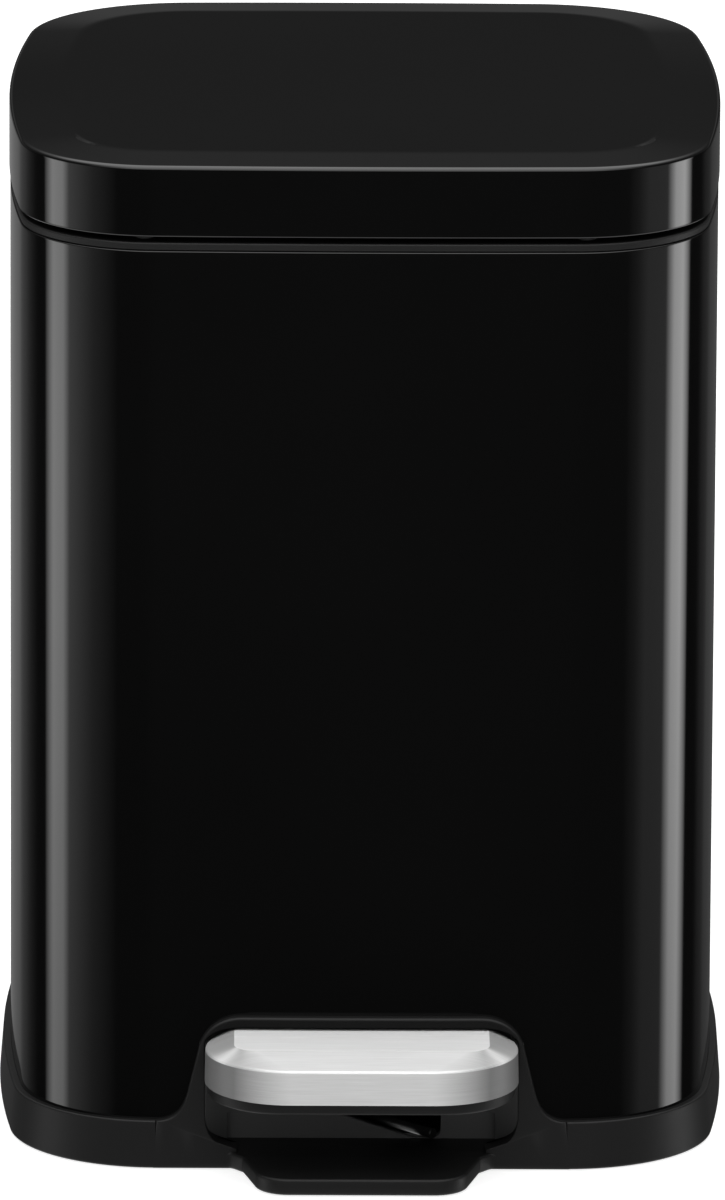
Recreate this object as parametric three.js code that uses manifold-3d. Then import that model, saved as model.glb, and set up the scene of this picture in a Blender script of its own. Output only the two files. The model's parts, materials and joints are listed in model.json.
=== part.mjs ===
// Rectangular pedal trash can: steel body and lid, plastic base, stainless pedal, inner bucket.
// Millimetres, +Z up. X runs across the can, -Y is the front with the pedal.
// The plan is drawn about the middle of the steel body; the whole group is then moved along Y
// so that the origin is the middle of the footprint.
import * as THREE from 'three';
import { mergeVertices } from 'three/addons/utils/BufferGeometryUtils.js';
import Module from 'manifold-3d';

const wasm = await Module();
wasm.setup();

// ---------------------------------------------------------------- driving dimensions

// Body plan
const bodyWidth = 205;
const bodyDepth = 220;
const frontCorner = 40;
const rearCorner = 48;
const frontBow = 1900;
const rearBow = 2000;
const sideBow = 580;
const sideBowMiddle = -5;

// Heights
const totalHeight = 295;
const lidSkirt = 20.5;
const panelRise = 0.9;
const lidGap = 1.7;
const collarBand = 2.4;
const baseBand = 14.2;
const floorTop = 45;
const floorThickness = 2;
const footLift = 0.8;

// Walls and clearances
const steel = 0.7;
const lidSteel = 0.8;
const plastic = 2;
const clearance = 0.3;
const runningClearance = 0.6;
const shellInset = 0.3;
const rearWallFit = 0.9;

// Lid
const panelInset = 16;
const linerFlange = 7.7;
const linerDrop = 4.5;

// Base
const baseFlareTop = 0.9;
const baseFlareBottom = 2.9;
const shellSeat = 6;
const archProud = 2.6;
const archTop = 45.3;
const archSide = 1.2;
const archFlare = 3.6;
const archBar = 3.2;
const archCorner = 12;
const archCornerHeight = 8;
const toeReach = 26;
const toeThickness = 4.4;
const toeRoot = 34;
const toeTip = 28.5;
const toeCorner = 10;
const sillTop = 14.6;
const sillSetback = 15.9;
const sillInset = 7.1;

// Pedal
const pedalWidth = 91.4;
const pedalDepth = 50;
const pedalProud = 30.1;
const pedalTop = 41.5;
const pedalRim = 37.9;
const pedalSkirt = 28.2;
const pedalBevel = 10.5;
const coreBottom = 25;
const pedalClearance = 0.8;

// Lever, axle and push rod
const axleRadius = 2.5;
const leverEye = 4.3;
const leverLift = 1.9;
const axleBehindFront = 81;
const axleHalf = 25;
const leverHalf = 8;
const leverThickness = 2.5;
const leverDepth = 6;
const rodRadius = 1.6;
const rodSide = 13;
const keeperRadius = 1.5;

// Lid hinge
const lidOpening = THREE.MathUtils.degToRad(80);
const hingeStandoff = 5.5;
const barrelRadius = 4.8;
const hingeDrop = 7.2;
const hingePinRadius = 2;
const crankReach = 13;
const hingeArmHalf = 6;
const earThickness = 6.5;

// Bucket
const bucketGap = 13;
const bucketTaper = 8;
const bucketWall = 1.8;
const bucketRim = 2.5;
const bailRadius = 1.5;
const bailLift = 4.2;

// Underside
const footRadius = 8;
const coverThickness = 2;
const screwRadius = 1.6;
const screwHead = 3.4;

// ---------------------------------------------------------------- derived places

const halfWidth = bodyWidth / 2;
const halfDepth = bodyDepth / 2;
const lidEdge = totalHeight - panelRise;
const lidBottom = lidEdge - lidSkirt;
const collarTop = lidBottom - lidGap;
const shellTop = collarTop - collarBand;
const shellInner = shellInset + steel;
const floorUnder = floorTop - floorThickness;
const toeTop = footLift + toeThickness;
const coverBottom = footLift + 1.6;
const coverTop = coverBottom + coverThickness;
const baseInner = shellInner + clearance + plastic;

const bodyFront = -halfDepth;
const baseFront = bodyFront - baseFlareBottom;
const archFront = bodyFront + shellInset - archProud;
const sillFront = baseFront + sillSetback;
const pedalFront = baseFront - pedalProud;
const pedalMiddle = pedalFront + pedalDepth / 2;
const pedalRear = pedalFront + pedalDepth;
const archShoulder = pedalWidth / 2 + archSide;
const archFoot = archShoulder + archFlare;
const sillHalf = pedalWidth / 2 - sillInset;

const hingeY = halfDepth + hingeStandoff;
const hingeZ = lidBottom - hingeDrop;
const rodY = hingeY - crankReach;
const crankAngle = lidOpening / 2;
const rodRise = 2 * crankReach * Math.tan(crankAngle);
const rodTop = hingeZ - rodRise / 2;
const axleY = bodyFront + axleBehindFront;
const axleHeight = coverTop + leverLift + leverEye + rodRise / 2;
const rodBottom = axleHeight - rodRise / 2;
const leverPlateTop = pedalRim - 4.2;

const bucketRear = rodY - 13.5;
const bucketBottom = floorTop + 0.5;
const bucketRimTop = collarTop - 8.2;
const coverPlateY = bucketRear + bucketRim + 1.3;

// ---------------------------------------------------------------- solids

// Keeps only merged positions, and turns the faces outwards if the shell was wound the other way.
function closed(geometry) {
  const bare = new THREE.BufferGeometry();
  bare.setAttribute('position', geometry.getAttribute('position').clone());
  if (geometry.index) bare.setIndex(geometry.index.clone());
  const merged = mergeVertices(bare, 1e-4);
  const p = merged.getAttribute('position');
  const index = merged.index.array;
  const [a, b, c] = [new THREE.Vector3(), new THREE.Vector3(), new THREE.Vector3()];
  let volume = 0;
  for (let i = 0; i < index.length; i += 3) {
    a.fromBufferAttribute(p, index[i]);
    b.fromBufferAttribute(p, index[i + 1]);
    c.fromBufferAttribute(p, index[i + 2]);
    volume += a.dot(b.cross(c));
  }
  if (volume < 0) {
    for (let i = 0; i < index.length; i += 3) {
      [index[i + 1], index[i + 2]] = [index[i + 2], index[i + 1]];
    }
  }
  return merged;
}

function toSolid(geometry) {
  const merged = closed(geometry);
  return new wasm.Manifold(new wasm.Mesh({
    numProp: 3,
    vertProperties: new Float32Array(merged.getAttribute('position').array),
    triVerts: new Uint32Array(merged.index.array),
  }));
}

function toGeometry(solid) {
  const mesh = solid.getMesh();
  const geometry = new THREE.BufferGeometry();
  geometry.setAttribute('position', new THREE.BufferAttribute(new Float32Array(mesh.vertProperties), 3));
  geometry.setIndex(new THREE.BufferAttribute(new Uint32Array(mesh.triVerts), 1));
  return geometry;
}

const joinAll = (...parts) => toGeometry(parts.map(toSolid).reduce((sum, part) => sum.add(part)));
const cutAll = (body, ...tools) =>
  toGeometry(tools.map(toSolid).reduce((rest, tool) => rest.subtract(tool), toSolid(body)));
const common = (a, b) => toGeometry(toSolid(a).intersect(toSolid(b)));

function box([x0, x1], [y0, y1], [z0, z1]) {
  const geometry = new THREE.BoxGeometry(x1 - x0, y1 - y0, z1 - z0);
  return geometry.translate((x0 + x1) / 2, (y0 + y1) / 2, (z0 + z1) / 2);
}

// Extrusions of a shape drawn in the plane named by its two axes.
const extrude = (shape, depth, curveSegments) =>
  new THREE.ExtrudeGeometry(shape, { depth, bevelEnabled: false, curveSegments });
const extrudeXY = (shape, [z0, z1], segments = 8) => extrude(shape, z1 - z0, segments).translate(0, 0, z0);
const extrudeXZ = (shape, [y0, y1], segments = 8) =>
  extrude(shape, y1 - y0, segments).rotateX(Math.PI / 2).translate(0, y1, 0);
const extrudeYZ = (shape, [x0, x1], segments = 8) =>
  extrude(shape, x1 - x0, segments).rotateZ(Math.PI / 2).rotateY(Math.PI / 2).translate(x0, 0, 0);

function cylinder(axis, radius, [from, to], [u, v], sides = 16) {
  const geometry = new THREE.CylinderGeometry(radius, radius, to - from, sides);
  const middle = (from + to) / 2;
  if (axis === 'x') return geometry.rotateZ(Math.PI / 2).translate(middle, u, v);
  if (axis === 'y') return geometry.translate(u, middle, v);
  return geometry.rotateX(Math.PI / 2).translate(u, v, middle);
}

// A turned piece: [radius, height] pairs from axis to axis, stood on +Z.
const turned = (profile, sides = 16) =>
  new THREE.LatheGeometry(profile.map(([r, z]) => new THREE.Vector2(r, z)), sides).rotateX(Math.PI / 2);

function circle(radius, x = 0, y = 0) {
  return new THREE.Path().absarc(x, y, radius, 0, 2 * Math.PI);
}

// A washer of the given inner and outer radii about an X axis.
function washerX(inner, outer, range, [y, z]) {
  const shape = new THREE.Shape().absarc(y, z, outer, 0, 2 * Math.PI);
  shape.holes.push(circle(inner, y, z));
  return extrudeYZ(shape, range, 5);
}

// A path that passes through its stations in equal steps, so that an extrusion puts a ring at each.
class StationPath extends THREE.Curve {
  constructor(stations) {
    super();
    this.stations = stations;
  }

  getPoint(t, target = new THREE.Vector3()) {
    const place = t * (this.stations.length - 1);
    const i = Math.min(Math.floor(place), this.stations.length - 2);
    return target.lerpVectors(this.stations[i], this.stations[i + 1], place - i);
  }

  getPointAt(u, target) {
    return this.getPoint(u, target);
  }

  getTangentAt(u, target = new THREE.Vector3()) {
    const step = 0.5 / (this.stations.length - 1);
    const before = this.getPoint(Math.max(u - step, 0));
    return target.copy(this.getPoint(Math.min(u + step, 1))).sub(before).normalize();
  }
}

function tube(stations, radius, curveSegments = 4) {
  const section = new THREE.Shape().absarc(0, 0, radius, 0, 2 * Math.PI);
  const extrudePath = new StationPath(stations);
  return new THREE.ExtrudeGeometry(section, { extrudePath, steps: stations.length - 1, curveSegments });
}

// Bent wire: straight runs between the points, each corner rounded by a short curve.
function wire(points, radius, corner = 5) {
  const stations = [points[0]];
  for (let i = 1; i < points.length - 1; i += 1) {
    const [before, at, after] = [points[i - 1], points[i], points[i + 1]];
    const start = at.clone().addScaledVector(before.clone().sub(at).normalize(), corner);
    const end = at.clone().addScaledVector(after.clone().sub(at).normalize(), corner);
    stations.push(...new THREE.QuadraticBezierCurve3(start, at, end).getPoints(4));
  }
  return tube([...stations, points.at(-1)], radius);
}

// ---------------------------------------------------------------- plan outlines

// The point where two circles cross that lies nearest to a wanted point.
function crossing(c1, r1, c2, r2, near) {
  const d = c2.clone().sub(c1);
  const gap = d.length();
  const along = (r1 * r1 - r2 * r2 + gap * gap) / (2 * gap);
  const across = Math.sqrt(r1 * r1 - along * along);
  d.normalize();
  const foot = c1.clone().addScaledVector(d, along);
  const normal = new THREE.Vector2(-d.y, d.x);
  const one = foot.clone().addScaledVector(normal, across);
  const two = foot.clone().addScaledVector(normal, -across);
  return one.distanceTo(near) < two.distanceTo(near) ? one : two;
}

// A rectangle with bowed sides and round corners, every arc tangent to the next.
// Growing it moves each arc's radius only, so outlines of different growth have matching points.
function bowedPlan(plan, growth = 0) {
  const frontCentre = new THREE.Vector2(0, plan.front + frontBow);
  const rearCentre = new THREE.Vector2(0, plan.rear - rearBow);
  const sideCentre = new THREE.Vector2(plan.halfWidth - sideBow, sideBowMiddle);
  const corner = (centre, bow, radius, y) => crossing(
    centre, bow - radius, sideCentre, sideBow - radius, new THREE.Vector2(plan.halfWidth - radius, y));
  const front = corner(frontCentre, frontBow, plan.frontCorner, plan.front + plan.frontCorner);
  const rear = corner(rearCentre, rearBow, plan.rearCorner, plan.rear - plan.rearCorner);
  const heading = (from, to) => Math.atan2(to.y - from.y, to.x - from.x);
  const arcs = [
    [frontCentre, frontBow, -Math.PI / 2, heading(frontCentre, front), 2],
    [front, plan.frontCorner, heading(frontCentre, front), heading(sideCentre, front), 6],
    [sideCentre, sideBow, heading(sideCentre, front), heading(sideCentre, rear), 3],
    [rear, plan.rearCorner, heading(sideCentre, rear), heading(rearCentre, rear), 6],
    [rearCentre, rearBow, heading(rearCentre, rear), Math.PI / 2, 1],
  ];
  const half = [];
  for (const [centre, radius, start, end, steps] of arcs) {
    for (let i = 0; i < steps; i += 1) {
      const angle = start + ((end - start) * i) / steps;
      const reach = radius + growth;
      half.push(new THREE.Vector2(centre.x + reach * Math.cos(angle), centre.y + reach * Math.sin(angle)));
    }
  }
  const last = new THREE.Vector2(0, plan.rear + growth);
  const mirrored = half.slice(1).reverse().map((point) => new THREE.Vector2(-point.x, point.y));
  return [...half, last, ...mirrored];
}

const bodyPlan = { halfWidth, front: -halfDepth, rear: halfDepth, frontCorner, rearCorner };
const bucketPlan = {
  halfWidth: halfWidth - bucketGap,
  front: -halfDepth + bucketGap,
  rear: bucketRear,
  frontCorner: frontCorner - bucketGap,
  rearCorner: rearCorner - bucketGap,
};

// The pedal pad: a rectangle whose ends are full half circles.
const padSteps = 9;
function padPlan(_, growth = 0) {
  const radius = pedalDepth / 2;
  const straight = pedalWidth / 2 - radius;
  const points = [];
  for (const side of [1, -1]) {
    for (let i = 0; i <= padSteps; i += 1) {
      const angle = side * (-Math.PI / 2) + (Math.PI * i) / padSteps;
      const reach = radius + growth;
      points.push(new THREE.Vector2(
        side * straight + reach * Math.cos(angle), pedalMiddle + reach * Math.sin(angle)));
    }
  }
  return points;
}

// Joins outlines of equal length into a skin: [growth, z] pairs name each ring.
// A ring-shaped piece closes on its first outline; a cup ends in two flat caps.
function skin(plan, pairs, { ring = false, outline = bowedPlan } = {}) {
  const loops = pairs.map(([growth, z]) => outline(plan, growth).map((p) => new THREE.Vector3(p.x, p.y, z)));
  const count = loops[0].length;
  const index = [];
  const levels = ring ? loops.length : loops.length - 1;
  for (let level = 0; level < levels; level += 1) {
    const a = level * count;
    const b = ((level + 1) % loops.length) * count;
    for (let i = 0; i < count; i += 1) {
      const j = (i + 1) % count;
      index.push(a + i, b + i, b + j, a + i, b + j, a + j);
    }
  }
  if (!ring) {
    const flat = (loop) => loop.map((p) => new THREE.Vector2(p.x, p.y));
    const last = (loops.length - 1) * count;
    for (const [a, b, c] of THREE.ShapeUtils.triangulateShape(flat(loops[0]), [])) index.push(a, b, c);
    for (const [a, b, c] of THREE.ShapeUtils.triangulateShape(flat(loops.at(-1)), [])) {
      index.push(last + a, last + c, last + b);
    }
  }
  const geometry = new THREE.BufferGeometry();
  const numbers = loops.flat().flatMap((p) => p.toArray());
  geometry.setAttribute('position', new THREE.Float32BufferAttribute(numbers, 3));
  geometry.setIndex(index);
  return geometry;
}

// ---------------------------------------------------------------- finishes

const finish = (color, roughness, metalness) => () =>
  new THREE.MeshStandardMaterial({ color, roughness, metalness });
const blackPaint = finish(0x0a0a0b, 0.12, 0);
const basePlastic = finish(0x1c1c1d, 0.55, 0);
const innerPlastic = finish(0x2a2a2c, 0.6, 0);
const brushed = finish(0xc8c8c6, 0.32, 1);
const plated = finish(0x9a9a98, 0.35, 1);
const rubber = finish(0x151515, 0.85, 0);

const can = new THREE.Group();

function add(name, geometry, material) {
  const mesh = new THREE.Mesh(closed(geometry), material());
  mesh.name = name;
  can.add(mesh);
}

// ---------------------------------------------------------------- base

const archInnerHalf = pedalWidth / 2 - 0.1;
const leverSlot = { half: leverHalf + 1.5, z: [sillTop + 3.6, floorUnder - 6.5] };
const bossPlaces = [[-62, axleY - 22], [62, axleY - 22], [-62, halfDepth - 38], [62, halfDepth - 38]];
const footPlaces = [[-76, axleY - 36], [76, axleY - 36], [-70, halfDepth - 27], [70, halfDepth - 27]];

// A straight top with elliptical shoulders, carried by both the arch and its opening.
function shoulders(shape, half, top, corner, cornerHeight) {
  const [x, z] = [half - corner, top - cornerHeight];
  shape.lineTo(-half, z);
  shape.absellipse(-x, z, corner, cornerHeight, Math.PI, Math.PI / 2, true);
  shape.absellipse(x, z, corner, cornerHeight, Math.PI / 2, 0, true);
}

// The arch outline on the front: its legs flare into the band at the foot.
function archShape() {
  const flare = 9;
  const bandTop = baseBand - 0.5;
  const bottom = footLift + 1;
  const shape = new THREE.Shape();
  shape.moveTo(-archFoot - flare, bottom);
  shape.lineTo(-archFoot - flare, bandTop);
  shape.quadraticCurveTo(-archFoot, bandTop, -archFoot, bandTop + flare);
  shoulders(shape, archShoulder, archTop, archCorner, archCornerHeight);
  shape.lineTo(archFoot, bandTop + flare);
  shape.quadraticCurveTo(archFoot, bandTop, archFoot + flare, bandTop);
  shape.lineTo(archFoot + flare, bottom);
  return shape;
}

// The opening inside the arch, used for the arch itself, the inner wall and the steel shell.
function openingShape(growth) {
  const half = archInnerHalf + growth;
  const shape = new THREE.Shape();
  shape.moveTo(-half, toeTop);
  shoulders(shape, half, archTop - archBar + growth, archCorner - 1.3, archCornerHeight - archBar);
  shape.lineTo(half, toeTop);
  return shape;
}

// The toe plate: a tongue that narrows to the front, with round corners.
function toeShape() {
  const front = baseFront - toeReach;
  const shape = new THREE.Shape();
  shape.moveTo(-toeRoot - 5, baseFront + 2);
  shape.quadraticCurveTo(-toeRoot, baseFront + 0.5, -toeRoot, baseFront - 4);
  shape.lineTo(-toeTip, front + toeCorner);
  shape.absarc(-toeTip + toeCorner, front + toeCorner, toeCorner, Math.PI, 1.5 * Math.PI, false);
  shape.absarc(toeTip - toeCorner, front + toeCorner, toeCorner, 1.5 * Math.PI, 2 * Math.PI, false);
  shape.lineTo(toeRoot, baseFront - 4);
  shape.quadraticCurveTo(toeRoot, baseFront + 0.5, toeRoot + 5, baseFront + 2);
  shape.lineTo(sillHalf, sillFront + plastic);
  shape.lineTo(-sillHalf, sillFront + plastic);
  return shape;
}

const padColumn = (growth, z) =>
  extrudeXY(new THREE.Shape(padPlan(null, growth)), z);

// The notch in the sill that the keeper spring's end comes through: a sloped lower edge, round end.
function notchShape() {
  const shape = new THREE.Shape();
  shape.moveTo(-7.5, sillTop + 1);
  shape.lineTo(-7.5, sillTop - 1.8);
  shape.lineTo(15, toeTop + 0.2);
  shape.absarc(20, toeTop + 3.2, 3, -Math.PI / 2, 0, false);
  shape.lineTo(23, sillTop + 1);
  return shape;
}

function baseHousing() {
  const tray = skin(bodyPlan, [
    [-shellInner - clearance, floorTop],
    [-shellInner - clearance, shellSeat],
    [0, shellSeat],
    [0, baseBand],
    [baseFlareTop - 0.3, baseBand],
    [baseFlareTop, baseBand - 0.4],
    [baseFlareBottom, footLift + 0.6],
    [baseFlareBottom - 0.6, footLift],
    [-baseInner, footLift],
    [-baseInner, floorUnder],
  ]);
  const wallBack = [bodyFront + baseInner - 1, pedalRear + 8];
  const jambs = common(
    padColumn(pedalClearance + plastic, [footLift, floorUnder + 0.5]),
    box([-halfWidth, halfWidth], wallBack, [0, floorTop]));
  const toe = extrudeXY(toeShape(), [footLift, toeTop], 6);
  const arch = extrudeXZ(archShape(), [archFront, bodyFront - 0.1], 5);
  const sill = box([-sillHalf - 1, sillHalf + 1], [sillFront, sillFront + plastic], [footLift, sillTop]);
  const saddle = (side) => {
    const x = [side * 10, side * 14].sort((a, b) => a - b);
    return box(x, [axleY - 7, axleY + 7], [axleHeight - 6.5, floorUnder + 0.5]);
  };
  const bosses = bossPlaces.map(([x, y]) =>
    cylinder('z', 4.5, [coverTop + clearance, floorUnder + 0.5], [x, y], 8));
  const whole = joinAll(tray, jambs, toe, arch, sill, saddle(1), saddle(-1), ...bosses);

  const upperRecess = common(
    padColumn(pedalClearance, [sillTop, floorUnder]),
    box([-halfWidth, halfWidth], [bodyFront - 0.05, pedalRear + 5], [0, floorTop]));
  const lowerRecess = common(
    padColumn(pedalClearance, [toeTop, sillTop + 0.1]),
    box([-halfWidth, halfWidth], [pedalFront - 9, sillFront], [0, floorTop]));
  const lowerCorners = box([-sillHalf, sillHalf], [bodyFront, sillFront], [toeTop, sillTop]);
  const sillHollow = box([-34, 34], [sillFront + plastic, pedalRear + 9], [-1, sillTop - plastic]);
  const screwHoles = bossPlaces.map(([x, y]) => cylinder('z', screwRadius + clearance, [0, 15], [x, y], 8));
  const saddleSlot = box([-16, 16], [axleY - axleRadius - clearance, axleY + axleRadius + clearance],
    [axleHeight - 9, axleHeight]);
  return cutAll(whole,
    upperRecess,
    lowerRecess,
    lowerCorners,
    extrudeXZ(openingShape(0), [pedalFront, bodyFront + baseInner + 2], 5),
    sillHollow,
    extrudeXZ(notchShape(), [sillFront - 1, sillFront + plastic + 1], 5),
    box([-leverSlot.half, leverSlot.half], [pedalRear - 1, pedalRear + 9], leverSlot.z),
    saddleSlot,
    cylinder('x', axleRadius + clearance, [-16, 16], [axleY, axleHeight]),
    box([rodSide - 4, rodSide + 4], [rodY - 4.5, rodY + 4], [floorUnder - 1, floorTop + 1]),
    box([-leverHalf - 2, leverHalf + 2], [rodY + 1.5, halfDepth - shellInner], [shellSeat, floorUnder - 5]),
    ...screwHoles);
}
add('base_housing', baseHousing(), basePlastic);

function bottomCover() {
  const inset = -baseInner - clearance - 0.1;
  const plate = skin(bodyPlan, [[inset, coverBottom], [inset, coverTop]]);
  const front = box([-halfWidth, halfWidth], [-halfDepth, pedalRear + 4], [0, 10]);
  const screwHoles = bossPlaces.map(([x, y]) => cylinder('z', screwRadius + clearance, [0, 10], [x, y], 8));
  const footHoles = footPlaces.map(([x, y]) => cylinder('z', 2.8, [0, 10], [x, y], 8));
  return cutAll(plate, front, ...screwHoles, ...footHoles);
}
add('bottom_cover', bottomCover(), innerPlastic);

footPlaces.forEach(([x, y], i) => {
  const head = coverBottom - 0.2;
  const foot = turned([[0, 0], [footRadius - 0.8, 0], [footRadius, 0.8], [footRadius, head],
    [2.5, head], [2.5, coverTop + 2], [0, coverTop + 2]], 12);
  add(`rubber_foot_${i + 1}`, foot.translate(x, y, 0), rubber);
});

// A pan-head screw standing on its head, shank up.
const screw = (length, head = screwHead) => turned([[0, -1.1], [head, -1.1], [head, 0],
  [screwRadius, 0], [screwRadius, length], [0, length]], 8);

bossPlaces.forEach(([x, y], i) => {
  add(`cover_screw_${i + 1}`, screw(12).translate(x, y, coverBottom - 0.2), plated);
});

// ---------------------------------------------------------------- steel body and rim

function bodyShell() {
  const bottom = shellSeat + clearance;
  const wall = skin(bodyPlan, [
    [-shellInset, bottom], [-shellInset, shellTop], [-shellInner, shellTop], [-shellInner, bottom],
  ], { ring: true });
  const hingeNotch = box([-hingeArmHalf - 0.8, hingeArmHalf + 0.8], [halfDepth - 8, halfDepth + 2],
    [rodTop - 5, shellTop + 1]);
  const rivets = rivetPlaces.map(([x, z]) =>
    cylinder('y', screwRadius + clearance, [halfDepth - 6, halfDepth + 3], [x, z], 8));
  return cutAll(wall, extrudeXZ(openingShape(0.4), [bodyFront - 5, bodyFront + 8], 5), hingeNotch, ...rivets);
}

const bracketZ = [hingeZ - 36, hingeZ - 6];
const rivetPlaces = [[-18, bracketZ[0] + 6], [18, bracketZ[0] + 6],
  [-18, bracketZ[1] - 6], [18, bracketZ[1] - 6]];
add('body_shell', bodyShell(), blackPaint);

function rimCollar() {
  const legTop = shellTop - 1.4;
  const leg = shellInner + clearance;
  const ringBody = skin(bodyPlan, [
    [-0.5, shellTop + clearance], [-0.5, collarTop - 0.4], [-0.9, collarTop],
    [-9, collarTop], [-9, legTop], [-leg - plastic, legTop],
    [-leg - plastic, legTop - 10], [-leg, legTop - 10], [-leg, shellTop + clearance],
  ], { ring: true });
  const armGap = box([-hingeArmHalf - 0.8, hingeArmHalf + 0.8], [rodY - 14, halfDepth + 2],
    [legTop - 12, collarTop + 1]);
  const rodGap = box([-rodSide - 4, rodSide + 4], [rodY - 14, rodY + 3.6], [legTop - 12, collarTop + 1]);
  return cutAll(ringBody, armGap, rodGap);
}
add('rim_collar', rimCollar(), innerPlastic);

// ---------------------------------------------------------------- hinge fixed to the body

function hingeBracket() {
  const front = halfDepth - shellInset + clearance;
  const plate = box([-24, 24], [front, front + 2.4], bracketZ);
  const ear = new THREE.Shape();
  ear.moveTo(front, bracketZ[0] + 8);
  ear.lineTo(front + 2.4, bracketZ[0] + 8);
  ear.lineTo(hingeY + barrelRadius, hingeZ);
  ear.absarc(hingeY, hingeZ, barrelRadius, 0, Math.PI, false);
  ear.lineTo(front, hingeZ - 5);
  const inner = hingeArmHalf + runningClearance;
  const right = extrudeYZ(ear, [inner, inner + earThickness], 6);
  const left = extrudeYZ(ear, [-inner - earThickness, -inner], 6);
  const holes = rivetPlaces.map(([x, z]) =>
    cylinder('y', screwRadius + clearance, [front - 1, front + 5], [x, z], 8));
  const bore = cylinder('x', hingePinRadius + clearance, [-30, 30], [hingeY, hingeZ]);
  const swing = box([-inner, inner], [front - 1, hingeY], [bracketZ[1] - 8, hingeZ]);
  return cutAll(joinAll(plate, right, left), swing, bore, ...holes);
}
add('hinge_bracket', hingeBracket(), innerPlastic);

const pinHalf = hingeArmHalf + runningClearance + earThickness + 1;
add('hinge_pin', cylinder('x', hingePinRadius, [-pinHalf, pinHalf], [hingeY, hingeZ]), plated);

rivetPlaces.forEach(([x, z], i) => {
  const wallIn = halfDepth - shellInner - 2 * clearance;
  const plateOut = halfDepth - shellInset + clearance + 2.6;
  const shank = plateOut - wallIn;
  const rivet = turned([[0, -1], [2.9, -1], [2.9, 0], [screwRadius, 0], [screwRadius, shank],
    [2.9, shank], [2.9, shank + 1.2], [0, shank + 1.2]], 8);
  add(`hinge_rivet_${i + 1}`, rivet.rotateX(-Math.PI / 2).translate(x, wallIn, z), plated);
});

// ---------------------------------------------------------------- lid

function lidSkin() {
  return skin(bodyPlan, [
    [-panelInset, totalHeight],
    [-panelInset + 3, totalHeight - 0.35],
    [-3.4, lidEdge],
    [-1.4, lidEdge - 0.4],
    [-0.3, lidEdge - 1.5],
    [0, lidEdge - 3],
    [0, lidBottom + 1.2],
    [-0.4, lidBottom],
    [-0.4 - lidSteel, lidBottom],
    [-lidSteel, lidBottom + 1.4],
    [-lidSteel, lidEdge - 3.2],
    [-3, lidEdge - lidSteel - 0.6],
    [-panelInset + 3, totalHeight - 0.4 - lidSteel],
    [-panelInset, totalHeight - lidSteel],
  ]);
}
add('lid_skin', lidSkin(), blackPaint);

const linerOut = lidSteel + 0.5;
const linerTop = totalHeight - linerDrop;
const linerUnder = linerTop - plastic;
const linerBottom = lidBottom + 1.3;
const armPlate = [linerUnder - 5.8, linerUnder - 2.8];
const lidScrewPlaces = [[-12, rodY - 8], [12, rodY - 8]];

function lidLiner() {
  const tray = skin(bodyPlan, [
    [-linerOut - 3, linerTop],
    [-linerOut, linerTop - 2.4],
    [-linerOut, linerBottom],
    [-linerOut - linerFlange, linerBottom],
    [-linerOut - linerFlange, linerBottom + plastic],
    [-linerOut - plastic, linerBottom + plastic],
    [-linerOut - plastic, linerUnder - 1],
    [-linerOut - plastic - 1.5, linerUnder],
  ]);
  const bosses = lidScrewPlaces.map(([x, y]) =>
    cylinder('z', 4.5, [armPlate[1] + clearance, linerUnder + 0.5], [x, y], 8));
  const holes = lidScrewPlaces.map(([x, y]) =>
    cylinder('z', screwRadius + clearance, [armPlate[1], linerTop - 0.6], [x, y], 8));
  const armGap = box([-hingeArmHalf - 0.6, hingeArmHalf + 0.6], [rodY - 6, rodY + 5.2],
    [linerBottom - 1, linerBottom + plastic + 1]);
  return cutAll(joinAll(tray, ...bosses), armGap, ...holes);
}
add('lid_liner', lidLiner(), innerPlastic);

// Barrel, crank and mounting plate in one piece. The crank's slot lets the rod's end run straight up
// while the crank swings through its arc.
function hingeArm() {
  const along = (r) => [hingeY - r * Math.cos(crankAngle), hingeZ - r * Math.sin(crankAngle)];
  const slotHalf = rodRadius + 0.9;
  const slotFrom = along(crankReach - 0.4);
  const slotTo = along(crankReach / Math.cos(crankAngle) + 0.4);
  const wall = 2.3;
  const capsule = (from, to, radius) => {
    const heading = Math.atan2(to[1] - from[1], to[0] - from[0]);
    const shape = new THREE.Shape();
    shape.absarc(from[0], from[1], radius, heading + Math.PI / 2, heading + 1.5 * Math.PI, false);
    shape.absarc(to[0], to[1], radius, heading - Math.PI / 2, heading + Math.PI / 2, false);
    return shape;
  };
  const x = [-hingeArmHalf, hingeArmHalf];
  const crank = extrudeYZ(capsule([hingeY, hingeZ], slotTo, slotHalf + wall), x, 6);
  const barrel = cylinder('x', barrelRadius, x, [hingeY, hingeZ]);
  const armY = [rodY - 2, rodY + 3.4];
  const post = box(x, armY, [hingeZ - 5, armPlate[1]]);
  const bridge = box(x, [rodY + 1, hingeY], [hingeZ - 1, lidBottom - 0.6 - clearance]);
  const plate = box([-20, 20], [rodY - 15, armY[1]], armPlate);
  const holes = lidScrewPlaces.map(([px, py]) =>
    cylinder('z', screwRadius + clearance, [armPlate[0] - 1, armPlate[1] + 1], [px, py], 8));
  return cutAll(joinAll(crank, barrel, post, bridge, plate),
    extrudeYZ(capsule(slotFrom, slotTo, slotHalf), [-30, 30], 6),
    cylinder('x', hingePinRadius + clearance, [-30, 30], [hingeY, hingeZ]),
    ...holes);
}
add('lid_hinge_arm', hingeArm(), innerPlastic);

lidScrewPlaces.forEach(([x, y], i) => {
  const side = ['left', 'right'][i];
  add(`lid_screw_${side}`, screw(7.4).translate(x, y, armPlate[0] - 0.2), plated);
  const bumper = turned([[0, 0], [3, 0], [3, linerBottom - collarTop - 0.7],
    [0, linerBottom - collarTop - 0.7]], 10);
  const bumperX = Math.sign(x) * (halfWidth - frontCorner);
  const bumperY = bodyFront + 5.4 + bumperX ** 2 / (2 * frontBow);
  add(`lid_bumper_${side}`, bumper.translate(bumperX, bumperY, collarTop + 0.4), rubber);
});

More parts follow.
